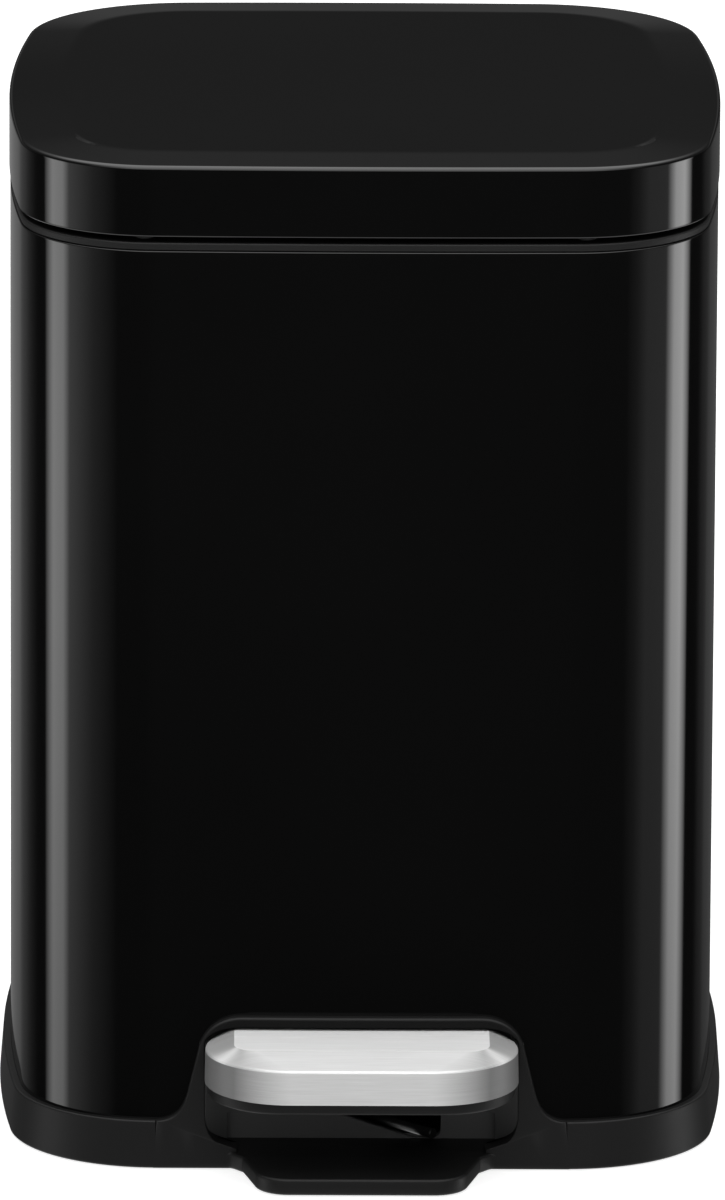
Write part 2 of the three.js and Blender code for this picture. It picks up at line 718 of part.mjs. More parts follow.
// ---------------------------------------------------------------- pedal and lever

function pedalCover() {
  const cover = skin(null, [
    [-pedalBevel, pedalTop],
    [-1.1, pedalRim + 0.5],
    [-0.3, pedalRim],
    [0, pedalRim - 0.8],
    [0, pedalSkirt],
    [-lidSteel, pedalSkirt],
    [-lidSteel, pedalRim - 1],
    [-1.4, pedalRim - 0.4],
    [-pedalBevel, pedalTop - lidSteel],
  ], { outline: padPlan });
  return cutAll(cover, box([-leverSlot.half, leverSlot.half], [pedalRear - 6, pedalRear + 1],
    [pedalSkirt - 1, leverPlateTop + 0.9]));
}
add('pedal_cover', pedalCover(), brushed);

const pedalScrews = [pedalMiddle + 8, pedalMiddle - 10];

function pedalCore() {
  const core = skin(null, [
    [-pedalBevel - 0.5, pedalTop - lidSteel - 0.5],
    [-1.9, pedalRim - 0.7],
    [-1.3, pedalRim - 1.5],
    [-1.3, coreBottom + 0.6],
    [-1.9, coreBottom],
    [-4, coreBottom],
    [-4, leverPlateTop + clearance],
  ], { outline: padPlan });
  const rear = [sillFront - 3.5, pedalRear + 1];
  const holes = pedalScrews.map((y) =>
    cylinder('z', screwRadius + clearance, [pedalSkirt, pedalTop - 2], [0, y], 8));
  return cutAll(core,
    box([-pedalWidth / 2, pedalWidth / 2], rear, [coreBottom - 1, pedalSkirt]),
    box([-leverSlot.half, leverSlot.half], [pedalRear - 8, pedalRear + 1],
      [coreBottom - 1, leverPlateTop + 0.9]),
    ...holes);
}
add('pedal_core', pedalCore(), innerPlastic);

// A bar seen from the side: a flat plate under the pad, a slope down to the axle and a rear arm
// that ends in an eye for the push rod.
function pedalLever() {
  const top = leverPlateTop;
  const bossRadius = 6.3;
  const shape = new THREE.Shape();
  shape.moveTo(pedalFront + 7, top - leverThickness);
  shape.lineTo(pedalRear + 6, top - leverThickness);
  shape.lineTo(axleY - bossRadius, axleHeight - 1);
  shape.absarc(axleY, axleHeight, bossRadius, Math.PI, 1.5 * Math.PI, false);
  shape.lineTo(rodY - 7, rodBottom - leverDepth / 2);
  shape.absarc(rodY, rodBottom, leverEye, -Math.PI / 2, Math.PI / 2, false);
  shape.lineTo(axleY + bossRadius, axleHeight + 2.2);
  shape.absarc(axleY, axleHeight, bossRadius, 0.3, Math.PI / 2, false);
  shape.lineTo(pedalRear + 8, top);
  shape.lineTo(pedalFront + 7, top);
  shape.holes.push(circle(axleRadius + clearance, axleY, axleHeight),
    circle(rodRadius + 0.7, rodY, rodBottom));
  const bar = extrudeYZ(shape, [-leverHalf, leverHalf], 6);
  const holes = pedalScrews.map((y) => cylinder('z', screwRadius + clearance, [top - 5, top + 2], [0, y], 8));
  return cutAll(bar, ...holes);
}
add('pedal_lever', pedalLever(), plated);

pedalScrews.forEach((y, i) => {
  add(`pedal_screw_${i + 1}`, screw(7.2).translate(0, y, leverPlateTop - leverThickness - 0.2), plated);
});

add('pedal_axle', cylinder('x', axleRadius, [-axleHalf, axleHalf], [axleY, axleHeight]), plated);
[['left', -1], ['right', 1]].forEach(([side, sign]) => {
  const x = [sign * 14.6, sign * 15.6].sort((a, b) => a - b);
  add(`axle_clip_${side}`, washerX(axleRadius + clearance, axleRadius + 2.4, x, [axleY, axleHeight]), plated);
});

function keeperSpring() {
  const under = axleHeight - axleRadius - keeperRadius - clearance;
  const low = toeTop + keeperRadius + 0.4;
  const v = (x, y, z) => new THREE.Vector3(x, y, z);
  return wire([
    v(20.8, sillFront - 1.5, low),
    v(-21, sillFront + 40, low),
    v(-21, axleY - 8, under),
    v(-21, axleY + 12, under),
    v(-21, axleY + 18, under + 14),
  ], keeperRadius, 5);
}
add('axle_keeper_spring', keeperSpring(), plated);

// ---------------------------------------------------------------- push rod

function pushRod() {
  const v = (x, z) => new THREE.Vector3(x, rodY, z);
  return wire([v(-leverHalf - 3.4, rodBottom), v(rodSide, rodBottom), v(rodSide, rodTop),
    v(-hingeArmHalf - 3.4, rodTop)], rodRadius, 3.5);
}
add('push_rod', pushRod(), plated);
add('rod_clip_lower', washerX(rodRadius + clearance, rodRadius + 2, [-leverHalf - 1.8, -leverHalf - 0.8],
  [rodY, rodBottom]), plated);
add('rod_clip_upper', washerX(rodRadius + clearance, rodRadius + 2,
  [-hingeArmHalf - 1.8, -hingeArmHalf - 0.8], [rodY, rodTop]), plated);

[['lower', floorTop + 18], ['upper', rodTop - 58]].forEach(([where, z]) => {
  const rear = halfDepth - shellInner - rearWallFit;
  const block = box([rodSide - 7, rodSide + 7], [rodY - 4.5, rear], [z, z + 10]);
  const bore = cylinder('z', rodRadius + 0.5, [z - 1, z + 11], [rodSide, rodY], 12);
  add(`rod_guide_${where}`, cutAll(block, bore), innerPlastic);
});

// A channel that keeps the bucket and its liner bag away from the rod.
function rodCover() {
  const half = 25;
  const back = halfDepth - shellInner - 2;
  const shape = new THREE.Shape();
  shape.moveTo(-half, coverPlateY);
  shape.lineTo(half, coverPlateY);
  shape.lineTo(half, back);
  shape.lineTo(half - 1.5, back);
  shape.lineTo(half - 1.5, coverPlateY + 1.5);
  shape.lineTo(-half + 1.5, coverPlateY + 1.5);
  shape.lineTo(-half + 1.5, back);
  shape.lineTo(-half, back);
  return extrudeXY(shape, [floorTop + clearance, rodTop - 14]);
}
add('rod_cover', rodCover(), innerPlastic);

// ---------------------------------------------------------------- bucket

const bailZ = bucketRimTop + bailLift;
const lugX = halfWidth - bucketGap + 0.3;

function bucketBody() {
  const cup = skin(bucketPlan, [
    [-bucketTaper - 3, bucketBottom],
    [-bucketTaper, bucketBottom + 3],
    [0, bucketRimTop - 6],
    [bucketRim, bucketRimTop - 6],
    [bucketRim, bucketRimTop],
    [-bucketWall, bucketRimTop],
    [-bucketWall, bucketRimTop - 6],
    [-bucketTaper - bucketWall, bucketBottom + 3],
    [-bucketTaper - 3.5, bucketBottom + bucketWall],
  ]);
  const lug = (side) => {
    const x = [side * (lugX - 1.4), side * (lugX + 1.6)].sort((a, b) => a - b);
    return box(x, [-6, 6], [bucketRimTop - 2, bailZ + 3.9]);
  };
  const bore = cylinder('x', bailRadius + 0.5, [-halfWidth, halfWidth], [0, bailZ], 12);
  return cutAll(joinAll(cup, lug(1), lug(-1)), bore);
}
add('inner_bucket', bucketBody(), innerPlastic);

// The bail lies along the front of the rim, its ends turned outwards through the lugs.
function bucketBail() {
  const outline = bowedPlan(bucketPlan, 0.2).filter((p) => p.y < -28);
  const right = outline.filter((p) => p.x > 0.1).reverse();
  const front = [...right, ...right.map((p) => new THREE.Vector2(-p.x, p.y)).reverse()];
  const inner = lugX - 3.2;
  const run = [[lugX + 1.9, 0], [lugX - 0.6, 0], [inner, 0], [inner - 2.2, -2.4], [inner - 1.6, -9]];
  const ends = (side) => run.map(([x, y]) => new THREE.Vector3(side * x, y, bailZ));
  const rim = front.map((p) => new THREE.Vector3(p.x, p.y, bailZ));
  return tube([...ends(1), ...rim, ...ends(-1).reverse()], bailRadius);
}
add('bucket_bail', bucketBail(), plated);

function bailGrip() {
  const y = bucketPlan.front - 0.1;
  const sleeve = cylinder('x', bailRadius + 1.9, [-30, 30], [y, bailZ], 14);
  return cutAll(sleeve, cylinder('x', bailRadius + 0.7, [-31, 31], [y, bailZ], 14));
}
add('bail_grip', bailGrip(), basePlastic);

// ---------------------------------------------------------------- origin

const rearReach = hingeY + barrelRadius;
can.position.y = -(pedalFront + rearReach) / 2;

export default can;
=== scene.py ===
import json
import math

import bmesh
import bpy
import numpy as np
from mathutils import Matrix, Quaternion, Vector, geometry


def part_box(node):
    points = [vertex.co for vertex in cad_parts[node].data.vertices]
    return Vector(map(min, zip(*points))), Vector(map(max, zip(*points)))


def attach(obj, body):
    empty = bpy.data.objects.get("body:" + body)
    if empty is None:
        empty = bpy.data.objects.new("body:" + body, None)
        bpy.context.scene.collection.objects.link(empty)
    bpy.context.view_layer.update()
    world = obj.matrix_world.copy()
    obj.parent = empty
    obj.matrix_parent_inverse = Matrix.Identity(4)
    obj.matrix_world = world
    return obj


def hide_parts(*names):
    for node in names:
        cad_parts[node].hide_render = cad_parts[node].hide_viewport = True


# Pedal trash can: gloss-black steel body and lid, matt plastic base, brushed pedal.
# Lengths here are millimetres and y is measured from the middle of the steel body;
# makePiece turns them into metres in the frame.

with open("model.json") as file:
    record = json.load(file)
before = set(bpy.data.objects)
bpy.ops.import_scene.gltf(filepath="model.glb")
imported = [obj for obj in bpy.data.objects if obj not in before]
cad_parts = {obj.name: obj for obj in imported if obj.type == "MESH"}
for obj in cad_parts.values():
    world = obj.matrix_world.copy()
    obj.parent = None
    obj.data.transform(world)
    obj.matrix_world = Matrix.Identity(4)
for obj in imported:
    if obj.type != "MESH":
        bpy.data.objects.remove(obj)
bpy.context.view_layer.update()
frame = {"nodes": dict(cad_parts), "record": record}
print("frame loaded,", len(frame["nodes"]), "nodes")


def nodeBox(name):
    low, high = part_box(name)
    return np.array(low) * 1000, np.array(high) * 1000


shellLow, shellHigh = nodeBox("body_shell")
centreY = (shellLow[1] + shellHigh[1]) / 2
shift = np.array([0.0, centreY, 0.0])


def localBox(name):
    low, high = nodeBox(name)
    return low - shift, high - shift


slotOf = {row["node"]: row["material_slot"] for row in frame["record"]["subparts"]}
bodyOf = {node: body for body, nodes in frame["record"]["behaviour"]["bodies"].items() for node in nodes}


# A socket that Python's operators work on; each operator adds a Math node.
class Value:
    def __init__(self, nodes, socket):
        self.nodes, self.socket = nodes, socket

    def math(self, operation, first, second=0.0):
        return self.nodes.add("ShaderNodeMath", {"operation": operation}, {0: first, 1: second})

    def __add__(self, other):
        return self.math("ADD", self, other)

    def __sub__(self, other):
        return self.math("SUBTRACT", self, other)

    def __rsub__(self, other):
        return self.math("SUBTRACT", other, self)

    def __mul__(self, other):
        return self.math("MULTIPLY", self, other)

    def __truediv__(self, other):
        return self.math("DIVIDE", self, other)

    def __gt__(self, other):
        return self.math("GREATER_THAN", self, other)

    __radd__ = __add__
    __rmul__ = __mul__


class Nodes:
    def __init__(self, tree):
        self.tree = tree
        tree.nodes.clear()

    # a node of any type: its settings go first, then its sockets' values or links
    def add(self, kind, settings=None, sockets=None, out=0):
        node = self.tree.nodes.new(kind)
        for key, value in (settings or {}).items():
            if key == "stops":
                setStops(node.color_ramp, value)
            else:
                setattr(node, key, value)
        for key, value in (sockets or {}).items():
            if isinstance(value, Value):
                self.tree.links.new(value.socket, node.inputs[key])
            else:
                node.inputs[key].default_value = value
        return Value(self, node.outputs[out]) if node.outputs else node

    def noise(self, where, scale, detail=3.0, roughness=0.5):
        return self.add("ShaderNodeTexNoise", {}, {"Vector": where, "Scale": scale, "Detail": detail,
                                                   "Roughness": roughness})

    def ramp(self, factor, stops):
        return self.add("ShaderNodeValToRGB", {"stops": stops}, {0: factor})

    def bump(self, height, distance, strength=1.0):
        return self.add("ShaderNodeBump", {}, {"Strength": strength, "Distance": distance, "Height": height})

    def mixColour(self, factor, first, second):
        return self.add("ShaderNodeMix", {"data_type": "RGBA"}, {0: factor, 6: first, 7: second}, 2)

    def stretched(self, where, scale):
        return self.add("ShaderNodeMapping", {}, {"Vector": where, "Scale": scale})


def grey(value):
    return (value, value, value, 1)


def setStops(ramp, stops):
    while len(ramp.elements) < len(stops):
        ramp.elements.new(1.0)
    for element, (place, tone) in zip(ramp.elements, stops):
        element.position = place
        element.color = grey(tone)


def makeMaterial(name, describe, metallic=0.0, fixed=None):
    material = bpy.data.materials.new(name)
    material.use_nodes = True
    nodes = Nodes(material.node_tree)
    where = nodes.add("ShaderNodeTexCoord", out="Object")
    sockets = {"Metallic": metallic, **(fixed or {}), **describe(nodes, where)}
    shader = nodes.add("ShaderNodeBsdfPrincipled", {}, sockets)
    nodes.add("ShaderNodeOutputMaterial", {}, {"Surface": shader})
    return material


glossPaint = {"dark": 0.0006, "light": 0.0014, "roughness": 0.045, "peelScale": 420.0, "peelHeight": 0.0000006}


# Baked paint: almost black, with a faint orange peel and softer patches in its shine.
def describePaint(nodes, where):
    patches = nodes.noise(where, 9.0, 4.0)
    peel = nodes.noise(where, glossPaint["peelScale"], 2.0)
    return {
        "Base Color": nodes.mixColour(patches, grey(glossPaint["dark"]), grey(glossPaint["light"])),
        "Roughness": glossPaint["roughness"] + 0.03 * patches,
        "Normal": nodes.bump(peel, glossPaint["peelHeight"]),
    }


# Moulded plastic: a fine spark-eroded grain over slow changes of tone and shine.
def describePlastic(tone, shine, grain, depth):
    def describe(nodes, where):
        fine = nodes.noise(where, grain, 3.0, 0.6)
        slow = nodes.noise(where, 22.0, 3.0)
        return {
            "Base Color": nodes.mixColour(slow * 0.6 + fine * 0.4, grey(tone * 0.8), grey(tone * 1.2)),
            "Roughness": shine + 0.12 * (slow - 0.5) + 0.1 * (fine - 0.5),
            "Normal": nodes.bump(fine, depth),
        }
    return describe


brush = {"along": 22.0, "across": 1100.0, "tone": (0.87, 0.87, 0.865), "lightShare": 1.22, "darkShare": 0.7,
         "roughness": 0.47}


# Brushed stainless: long hair lines that follow the piece's own grain attribute, each a little
# lighter or darker, rougher or smoother, and cut into the surface. The attribute's third part is
# painted shade and highlight: how much darker the steel is drawn where less light falls, round the
# ends and on the skirt, and less so along a painted highlight on the bevel: tone * (1 - turn).
# makePiece stores the attribute in thousandths, so turn comes back times 1000.
def describeBrushed(nodes, where):
    own = nodes.add("ShaderNodeAttribute", {"attribute_name": "grain"}, out="Vector")
    turn = nodes.add("ShaderNodeSeparateXYZ", {}, {0: own}, 2)
    flat = nodes.add("ShaderNodeVectorMath", {"operation": "MULTIPLY"}, {0: own, 1: (1, 1, 0)})
    hair = nodes.noise(nodes.stretched(flat, (brush["along"], brush["across"], 1)), 3.0, 3.0, 0.6)
    broad = nodes.noise(nodes.stretched(flat, (6.0, 260.0, 1)), 2.0, 3.0)
    lines = 0.7 * hair + 0.3 * broad
    light, dark = ((*(min(1.0, part * brush[share]) for part in brush["tone"]), 1)
                   for share in ("lightShare", "darkShare"))
    # Painted shade: turn darkens the steel's colour toward black.
    tone = nodes.mixColour(turn * 1000.0, nodes.mixColour(lines, dark, light), grey(0.0))
    return {
        "Base Color": tone,
        "Roughness": brush["roughness"] + 0.22 * (lines - 0.5),
        "Normal": nodes.bump(lines, 0.00002),
    }


# Zinc plating: dull, a little blue, with cloudy spangle.
def describeZinc(nodes, where):
    cloud = nodes.noise(where, 160.0, 4.0)
    fine = nodes.noise(where, 900.0, 2.0)
    return {
        "Base Color": nodes.mixColour(cloud, (0.36, 0.37, 0.38, 1), (0.58, 0.59, 0.60, 1)),
        "Roughness": 0.3 + 0.18 * cloud,
        "Normal": nodes.bump(fine, 0.000006),
    }


def describeRubber(nodes, where):
    fine = nodes.noise(where, 1400.0, 2.0)
    return {
        "Base Color": nodes.mixColour(fine, grey(0.012), grey(0.022)),
        "Roughness": 0.8 + 0.12 * (fine - 0.5),
        "Normal": nodes.bump(fine, 0.00001),
    }


materials = {
    "black_paint": makeMaterial("glossBlackPaint", describePaint),
    "base_plastic": makeMaterial("basePlastic", describePlastic(0.0042, 0.46, 1500.0, 0.00001),
                                 fixed={"Specular IOR Level": 0.22}),
    "inner_plastic": makeMaterial("innerPlastic", describePlastic(0.0055, 0.5, 1200.0, 0.000012),
                                  fixed={"Specular IOR Level": 0.28}),
    "pedal_steel": makeMaterial("brushedPedal", describeBrushed, metallic=0.3),
    "plated_steel": makeMaterial("zincPlate", describeZinc, metallic=1.0),
    "rubber": makeMaterial("rubber", describeRubber),
}
recessPlastic = makeMaterial("recessPlastic", describePlastic(0.055, 0.5, 1500.0, 0.00001),
                             fixed={"Specular IOR Level": 0.4})
springSteel = makeMaterial("blackSpringWire", describePlastic(0.012, 0.36, 700.0, 0.00002), metallic=0.3)
print("materials made:", len(materials))


# Corners of a profile or outline, each (u, v, radius), become arcs that touch both their sides.
# keep adds a point that far before and after each arc, which holds the flats flat.
def rounded(points, steps=8, keep=0.35, closed=False):
    points = [np.array((*p, 0.0)[:3], float) for p in points]
    out = []
    for i, point in enumerate(points):
        corner, radius = point[:2], point[2]
        if radius == 0 or (not closed and i in (0, len(points) - 1)):
            out.append(corner[None])
            continue
        before, after = points[i - 1][:2] - corner, points[(i + 1) % len(points)][:2] - corner
        toBefore, toAfter = np.linalg.norm(before), np.linalg.norm(after)
        before, after = before / toBefore, after / toAfter
        half = math.acos(float(np.clip(before @ after, -1, 1))) / 2
        reach = min(radius / math.tan(half), 0.49 * toBefore, 0.49 * toAfter)
        centre = corner + (before + after) / np.linalg.norm(before + after) * reach / math.cos(half)
        start, end = corner + before * reach - centre, corner + after * reach - centre
        turn = math.atan2(start[0] * end[1] - start[1] * end[0], start @ end)
        angle = np.linspace(0, turn, steps + 1)
        arc = centre + np.column_stack([start[0] * np.cos(angle) - start[1] * np.sin(angle),
                                        start[0] * np.sin(angle) + start[1] * np.cos(angle)])
        if keep:
            early = corner + before * min(reach + keep, 0.5 * toBefore)
            late = corner + after * min(reach + keep, 0.5 * toAfter)
            arc = np.vstack([early, arc, late])
        out.append(arc)
    return np.vstack(out)


bodyPlan = {"halfWidth": 102.5, "halfDepth": 110.0, "frontCorner": 40.0, "rearCorner": 48.0,
            "frontBow": 1900.0, "rearBow": 2000.0, "sideBow": 580.0, "sideBowMiddle": -5.0}


# The point nearest to a wanted place where two circles cross.
def crossing(c1, r1, c2, r2, near):
    gap = np.linalg.norm(c2 - c1)
    along = (r1 * r1 - r2 * r2 + gap * gap) / (2 * gap)
    across = math.sqrt(r1 * r1 - along * along)
    ahead = (c2 - c1) / gap
    sideways = np.array([-ahead[1], ahead[0]])
    both = [c1 + ahead * along + sideways * across * sign for sign in (1, -1)]
    return min(both, key=lambda point: np.linalg.norm(point - near))


# The can's plan: bowed front, back and sides with round corners, each arc tangent to the next.
# A column is an arc's centre x and y, its radius and an angle, so the outline grown by g is
# centre + (radius + g) * (cos angle, sin angle). Gaps leave the ring open in front or behind.
def planColumns(plan, frontGap=0.0, rearGap=0.0, doubled=(), steps=(34, 30, 26, 30, 16)):
    front = plan.get("front", -plan["halfDepth"])
    rear = plan.get("rear", plan["halfDepth"])
    frontCentre = np.array([0, front + plan["frontBow"]])
    rearCentre = np.array([0, rear - plan["rearBow"]])
    sideCentre = np.array([plan["halfWidth"] - plan["sideBow"], plan["sideBowMiddle"]])
    corners = []
    for centre, bow, radius, y in ((frontCentre, plan["frontBow"], plan["frontCorner"], front + plan["frontCorner"]),
                                   (rearCentre, plan["rearBow"], plan["rearCorner"], rear - plan["rearCorner"])):
        corners.append(crossing(centre, bow - radius, sideCentre, plan["sideBow"] - radius,
                                np.array([plan["halfWidth"] - radius, y])))

    def heading(start, end):
        return math.atan2(end[1] - start[1], end[0] - start[0])
    arcs = [
        (frontCentre, plan["frontBow"], -math.pi / 2 + math.asin(frontGap / plan["frontBow"]),
         heading(frontCentre, corners[0])),
        (corners[0], plan["frontCorner"], heading(frontCentre, corners[0]), heading(sideCentre, corners[0])),
        (sideCentre, plan["sideBow"], heading(sideCentre, corners[0]), heading(sideCentre, corners[1])),
        (corners[1], plan["rearCorner"], heading(sideCentre, corners[1]), heading(rearCentre, corners[1])),
        (rearCentre, plan["rearBow"], heading(rearCentre, corners[1]),
         math.pi / 2 - math.asin(rearGap / plan["rearBow"])),
    ]
    parts = []
    for i, ((centre, radius, start, end), count) in enumerate(zip(arcs, steps)):
        angle = np.linspace(start, end, count, endpoint=i == len(arcs) - 1)
        if i == 0 and doubled:
            pairs = [math.asin((x + side) / radius) - math.pi / 2 for x in doubled for side in (-0.01, 0.01)]
            angle = np.sort(np.concatenate([angle, pairs]))
        parts.append(np.column_stack([np.full(len(angle), centre[0]), np.full(len(angle), centre[1]),
                                      np.full(len(angle), radius), angle]))
    right = np.vstack(parts)
    left = (right * [-1, 1, 1, -1] + [0, 0, 0, math.pi])[::-1]
    if rearGap:
        return np.vstack([left[:-1], right])
    if frontGap:
        return np.vstack([right, left[1:]])
    return np.vstack([right, left[1:-1]])


# A profile of (growth, height) carried round a plan: rows are the profile, columns the plan.
def swept(columns, profile, growthLimit=None):
    profile = np.asarray(profile)
    growth = np.repeat(profile[:, :1], len(columns), 1)
    if growthLimit is not None:
        growth = np.maximum(growth, growthLimit[None])
    reach = columns[:, 2] + growth
    return np.stack([columns[:, 0] + reach * np.cos(columns[:, 3]),
                     columns[:, 1] + reach * np.sin(columns[:, 3]),
                     np.repeat(profile[:, 1:2], len(columns), 1)], -1)


# Rows that shrink one ring towards a point, for closing a top or a floor.
def shrunk(ring, centre, shares):
    return centre + (ring[None] - centre) * np.asarray(shares)[:, None, None]


# A grid of points becomes quads. Rows and columns may close on themselves; a pole closes the first
# or last row to one point; a cap closes an end with one flat face.
def gridMesh(grid, closeColumns=True, closeRows=False, poles=(None, None), capColumns=False, capRows=False):
    rows, count = grid.shape[:2]
    index = np.arange(rows * count).reshape(rows, count)
    a, b = (index, np.roll(index, -1, 0)) if closeRows else (index[:-1], index[1:])
    if closeColumns:
        quads = np.stack([a, np.roll(a, -1, 1), np.roll(b, -1, 1), b], -1)
    else:
        quads = np.stack([a[:, :-1], a[:, 1:], b[:, 1:], b[:, :-1]], -1)
    faces = quads.reshape(-1, 4).tolist()
    points = [grid.reshape(-1, 3)]
    for row, pole in zip((0, -1), poles):
        if pole is not None:
            tip = sum(len(p) for p in points)
            points.append(np.array([pole], float))
            ring = index[row]
            faces += np.column_stack([ring, np.roll(ring, -1), np.full(count, tip)]).tolist()
    if capColumns:
        faces += [index[:, 0].tolist(), index[:, -1].tolist()]
    if capRows:
        faces += [index[0].tolist(), index[-1].tolist()]
    return np.vstack(points), faces


# Several meshes as one.
def joined(*meshes):
    points, faces, offset = [], [], 0
    for meshPoints, meshFaces in meshes:
        points.append(meshPoints)
        faces += [[i + offset for i in face] for face in meshFaces]
        offset += len(meshPoints)
    return np.vstack(points), faces


# A flat plate of any closed outline, with its edges rounded: each row is the outline drawn in by
# r - r*sin(t) at r - r*cos(t) from the face. axis is the way the plate is thick.
def plate(outline, low, high, edge=0.4, axis="z", steps=4):
    outline = np.asarray(outline)
    ahead = np.roll(outline, -1, 0) - np.roll(outline, 1, 0)
    ahead /= np.linalg.norm(ahead, axis=1, keepdims=True) + 1e-12
    area = np.sum(outline[:, 0] * np.roll(outline[:, 1], -1) - np.roll(outline[:, 0], -1) * outline[:, 1])
    inward = np.column_stack([-ahead[:, 1], ahead[:, 0]]) * np.sign(area)
    turn = np.linspace(0, math.pi / 2, steps + 1)
    drawIn = edge * (1 - np.sin(turn))
    rise = edge * (1 - np.cos(turn))
    drawIn = np.concatenate([drawIn, drawIn[::-1]])
    height = np.concatenate([low + rise, high - rise[::-1]])
    flat = outline[None] + inward[None] * drawIn[:, None, None]
    tall = np.repeat(height[:, None, None], len(outline), 1)
    if axis == "z":
        grid = np.concatenate([flat, tall], -1)
    elif axis == "y":
        grid = np.concatenate([flat[..., :1], tall, flat[..., 1:]], -1)
    else:
        grid = np.concatenate([tall, flat], -1)
    return gridMesh(grid, capRows=True)


def rectangle(x0, x1, y0, y1, radius):
    return rounded([(x0, y0, radius), (x1, y0, radius), (x1, y1, radius), (x0, y1, radius)], 6, 0, True)


# A (radius, distance) profile turned about an axis through a place.
def turned(profile, place, axis="z", sides=48):
    angle = np.linspace(0, 2 * math.pi, sides, endpoint=False)
    profile = np.asarray(profile)
    across, along = profile[:, :1], profile[:, 1:2]
    u, v, w = across * np.cos(angle), across * np.sin(angle), np.repeat(along, sides, 1)
    order = {"z": (u, v, w), "y": (v, w, u), "x": (w, u, v)}[axis]
    tip = {"z": (0, 0, 1), "y": (0, 1, 0), "x": (1, 0, 0)}[axis]
    poles = [np.array(place) + np.array(tip) * profile[row, 1] for row in (0, -1)]
    return gridMesh(np.stack(order, -1) + np.array(place), poles=poles)


# Straight runs between points, each corner eased by a short curve.
def eased(points, corner, steps=10):
    points = [np.array(p, float) for p in points]
    out = [points[0][None]]
    t = np.linspace(0, 1, steps + 1)[:, None]
    for before, at, after in zip(points, points[1:], points[2:]):
        start = at + (before - at) / np.linalg.norm(before - at) * corner
        end = at + (after - at) / np.linalg.norm(after - at) * corner
        out.append(start * (1 - t) ** 2 + at * 2 * t * (1 - t) + end * t ** 2)
    return np.vstack(out + [points[-1][None]])


# A round wire along a path: at each point a circle in the plane across the path. upright is a
# direction that the path never runs along. The ends are cut off with a small chamfer.
def roundWire(path, radius, upright=(0, 0, 1), sides=24):
    ahead = np.gradient(path, axis=0)
    ahead /= np.linalg.norm(ahead, axis=1, keepdims=True)
    side = np.cross(ahead, np.array(upright, float))
    side /= np.linalg.norm(side, axis=1, keepdims=True)
    up = np.cross(side, ahead)
    chamfer = 0.18 * radius
    path = np.vstack([path[:1], path[:1] + ahead[:1] * chamfer, path[1:-1], path[-1:] - ahead[-1:] * chamfer,
                      path[-1:]])
    side, up = (np.vstack([v[:1], v, v[-1:]]) for v in (side, up))
    size = np.full(len(path), radius)
    size[[0, -1]] = radius - chamfer
    angle = np.linspace(0, 2 * math.pi, sides, endpoint=False)
    ring = side[:, None] * np.cos(angle)[None, :, None] + up[:, None] * np.sin(angle)[None, :, None]
    return gridMesh(path[:, None] + ring * size[:, None, None], poles=(path[0], path[-1]))


# A mesh becomes a piece: it rides on the body of the CAD node it stands for and wears its finish.
def makePiece(name, shape, stands, grain=None, sharp=38.0, material=None):
    points, faces = shape
    mesh = bpy.data.meshes.new(name)
    mesh.from_pydata(((points + shift) / 1000).tolist(), [], faces)
    if grain is not None:
        attribute = mesh.attributes.new("grain", "FLOAT_VECTOR", "POINT")
        attribute.data.foreach_set("vector", (grain / 1000).astype(np.float32).ravel())
    work = bmesh.new()
    work.from_mesh(mesh)
    bmesh.ops.recalc_face_normals(work, faces=work.faces)
    work.to_mesh(mesh)
    work.free()
    mesh.shade_smooth()
    mesh.set_sharp_from_angle(angle=math.radians(sharp))
    piece = bpy.data.objects.new(name, mesh)
    bpy.context.scene.collection.objects.link(piece)
    nodes = [stands] if isinstance(stands, str) else stands
    slot = slotOf[nodes[0]]
    mesh.materials.append(material or materials[slot])
    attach(piece, bodyOf[nodes[0]])
    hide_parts(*nodes)
    return piece


lidLow, lidHigh = localBox("lid_skin")
collarLow, collarHigh = localBox("rim_collar")
baseLow = localBox("base_housing")[0]
lid = {"panelInset": 16.0, "panelRise": 0.9, "edgeRound": 1.25, "hemHeight": 3.0, "hemRound": 0.55,
       "steel": 0.8, "creaseDepth": 0.34, "creaseWidth": 0.36, "creaseAt": 64.0, "creaseSpan": 13.0}


# Lid: a flat panel, a gently sloping band round it, a round ridge, a straight skirt and a turned-in
# hem. The height dips by depth * exp(-(distance/width)^2) along short creases at two corners.
def lidSkin():
    top, bottom = lidHigh[2], lidLow[2]
    ridge = top - lid["panelRise"]
    inset = -lid["panelInset"]
    steel = lid["steel"]
    profile = rounded([
        (inset - 5, top), (inset, top, 60), (0, ridge, lid["edgeRound"]),
        (0, bottom, lid["hemRound"]), (-steel - 0.5, bottom, lid["hemRound"]),
        (-steel - 0.5, bottom + lid["hemHeight"], 0.3), (-steel, bottom + lid["hemHeight"] + 0.3, 0),
        (-steel, ridge - steel, 2.4), (inset, top - steel, 60), (inset - 5, top - steel)], 10)
    columns = planColumns(bodyPlan)
    skirt = swept(columns, profile)
    outward = np.degrees(columns[:, 3])
    fromFront = np.minimum(np.abs(outward + 90), np.abs(outward - 270))
    atCorner = np.exp(-((fromFront - lid["creaseAt"]) / lid["creaseSpan"]) ** 4)
    atEdge = np.exp(-((profile[:, 0] - inset) / lid["creaseWidth"]) ** 2)
    outside = np.arange(len(profile)) < len(profile) // 2
    skirt[..., 2] -= lid["creaseDepth"] * (atEdge * outside)[:, None] * atCorner[None]
    middleTop, middleUnder = np.array([0, 0, top]), np.array([0, 0, top - steel])
    grid = np.concatenate([shrunk(skirt[0], middleTop, np.linspace(0.06, 0.97, 10)), skirt,
                           shrunk(skirt[-1], middleUnder, np.linspace(0.97, 0.06, 6))])
    return gridMesh(grid, poles=(middleTop, middleUnder))


makePiece("lid_shell", lidSkin(), "lid_skin")
linerLow, linerHigh = localBox("lid_liner")
liner = {"flange": 7.7, "wall": 2.0, "panelInset": 32.0, "panelDrop": 1.4}


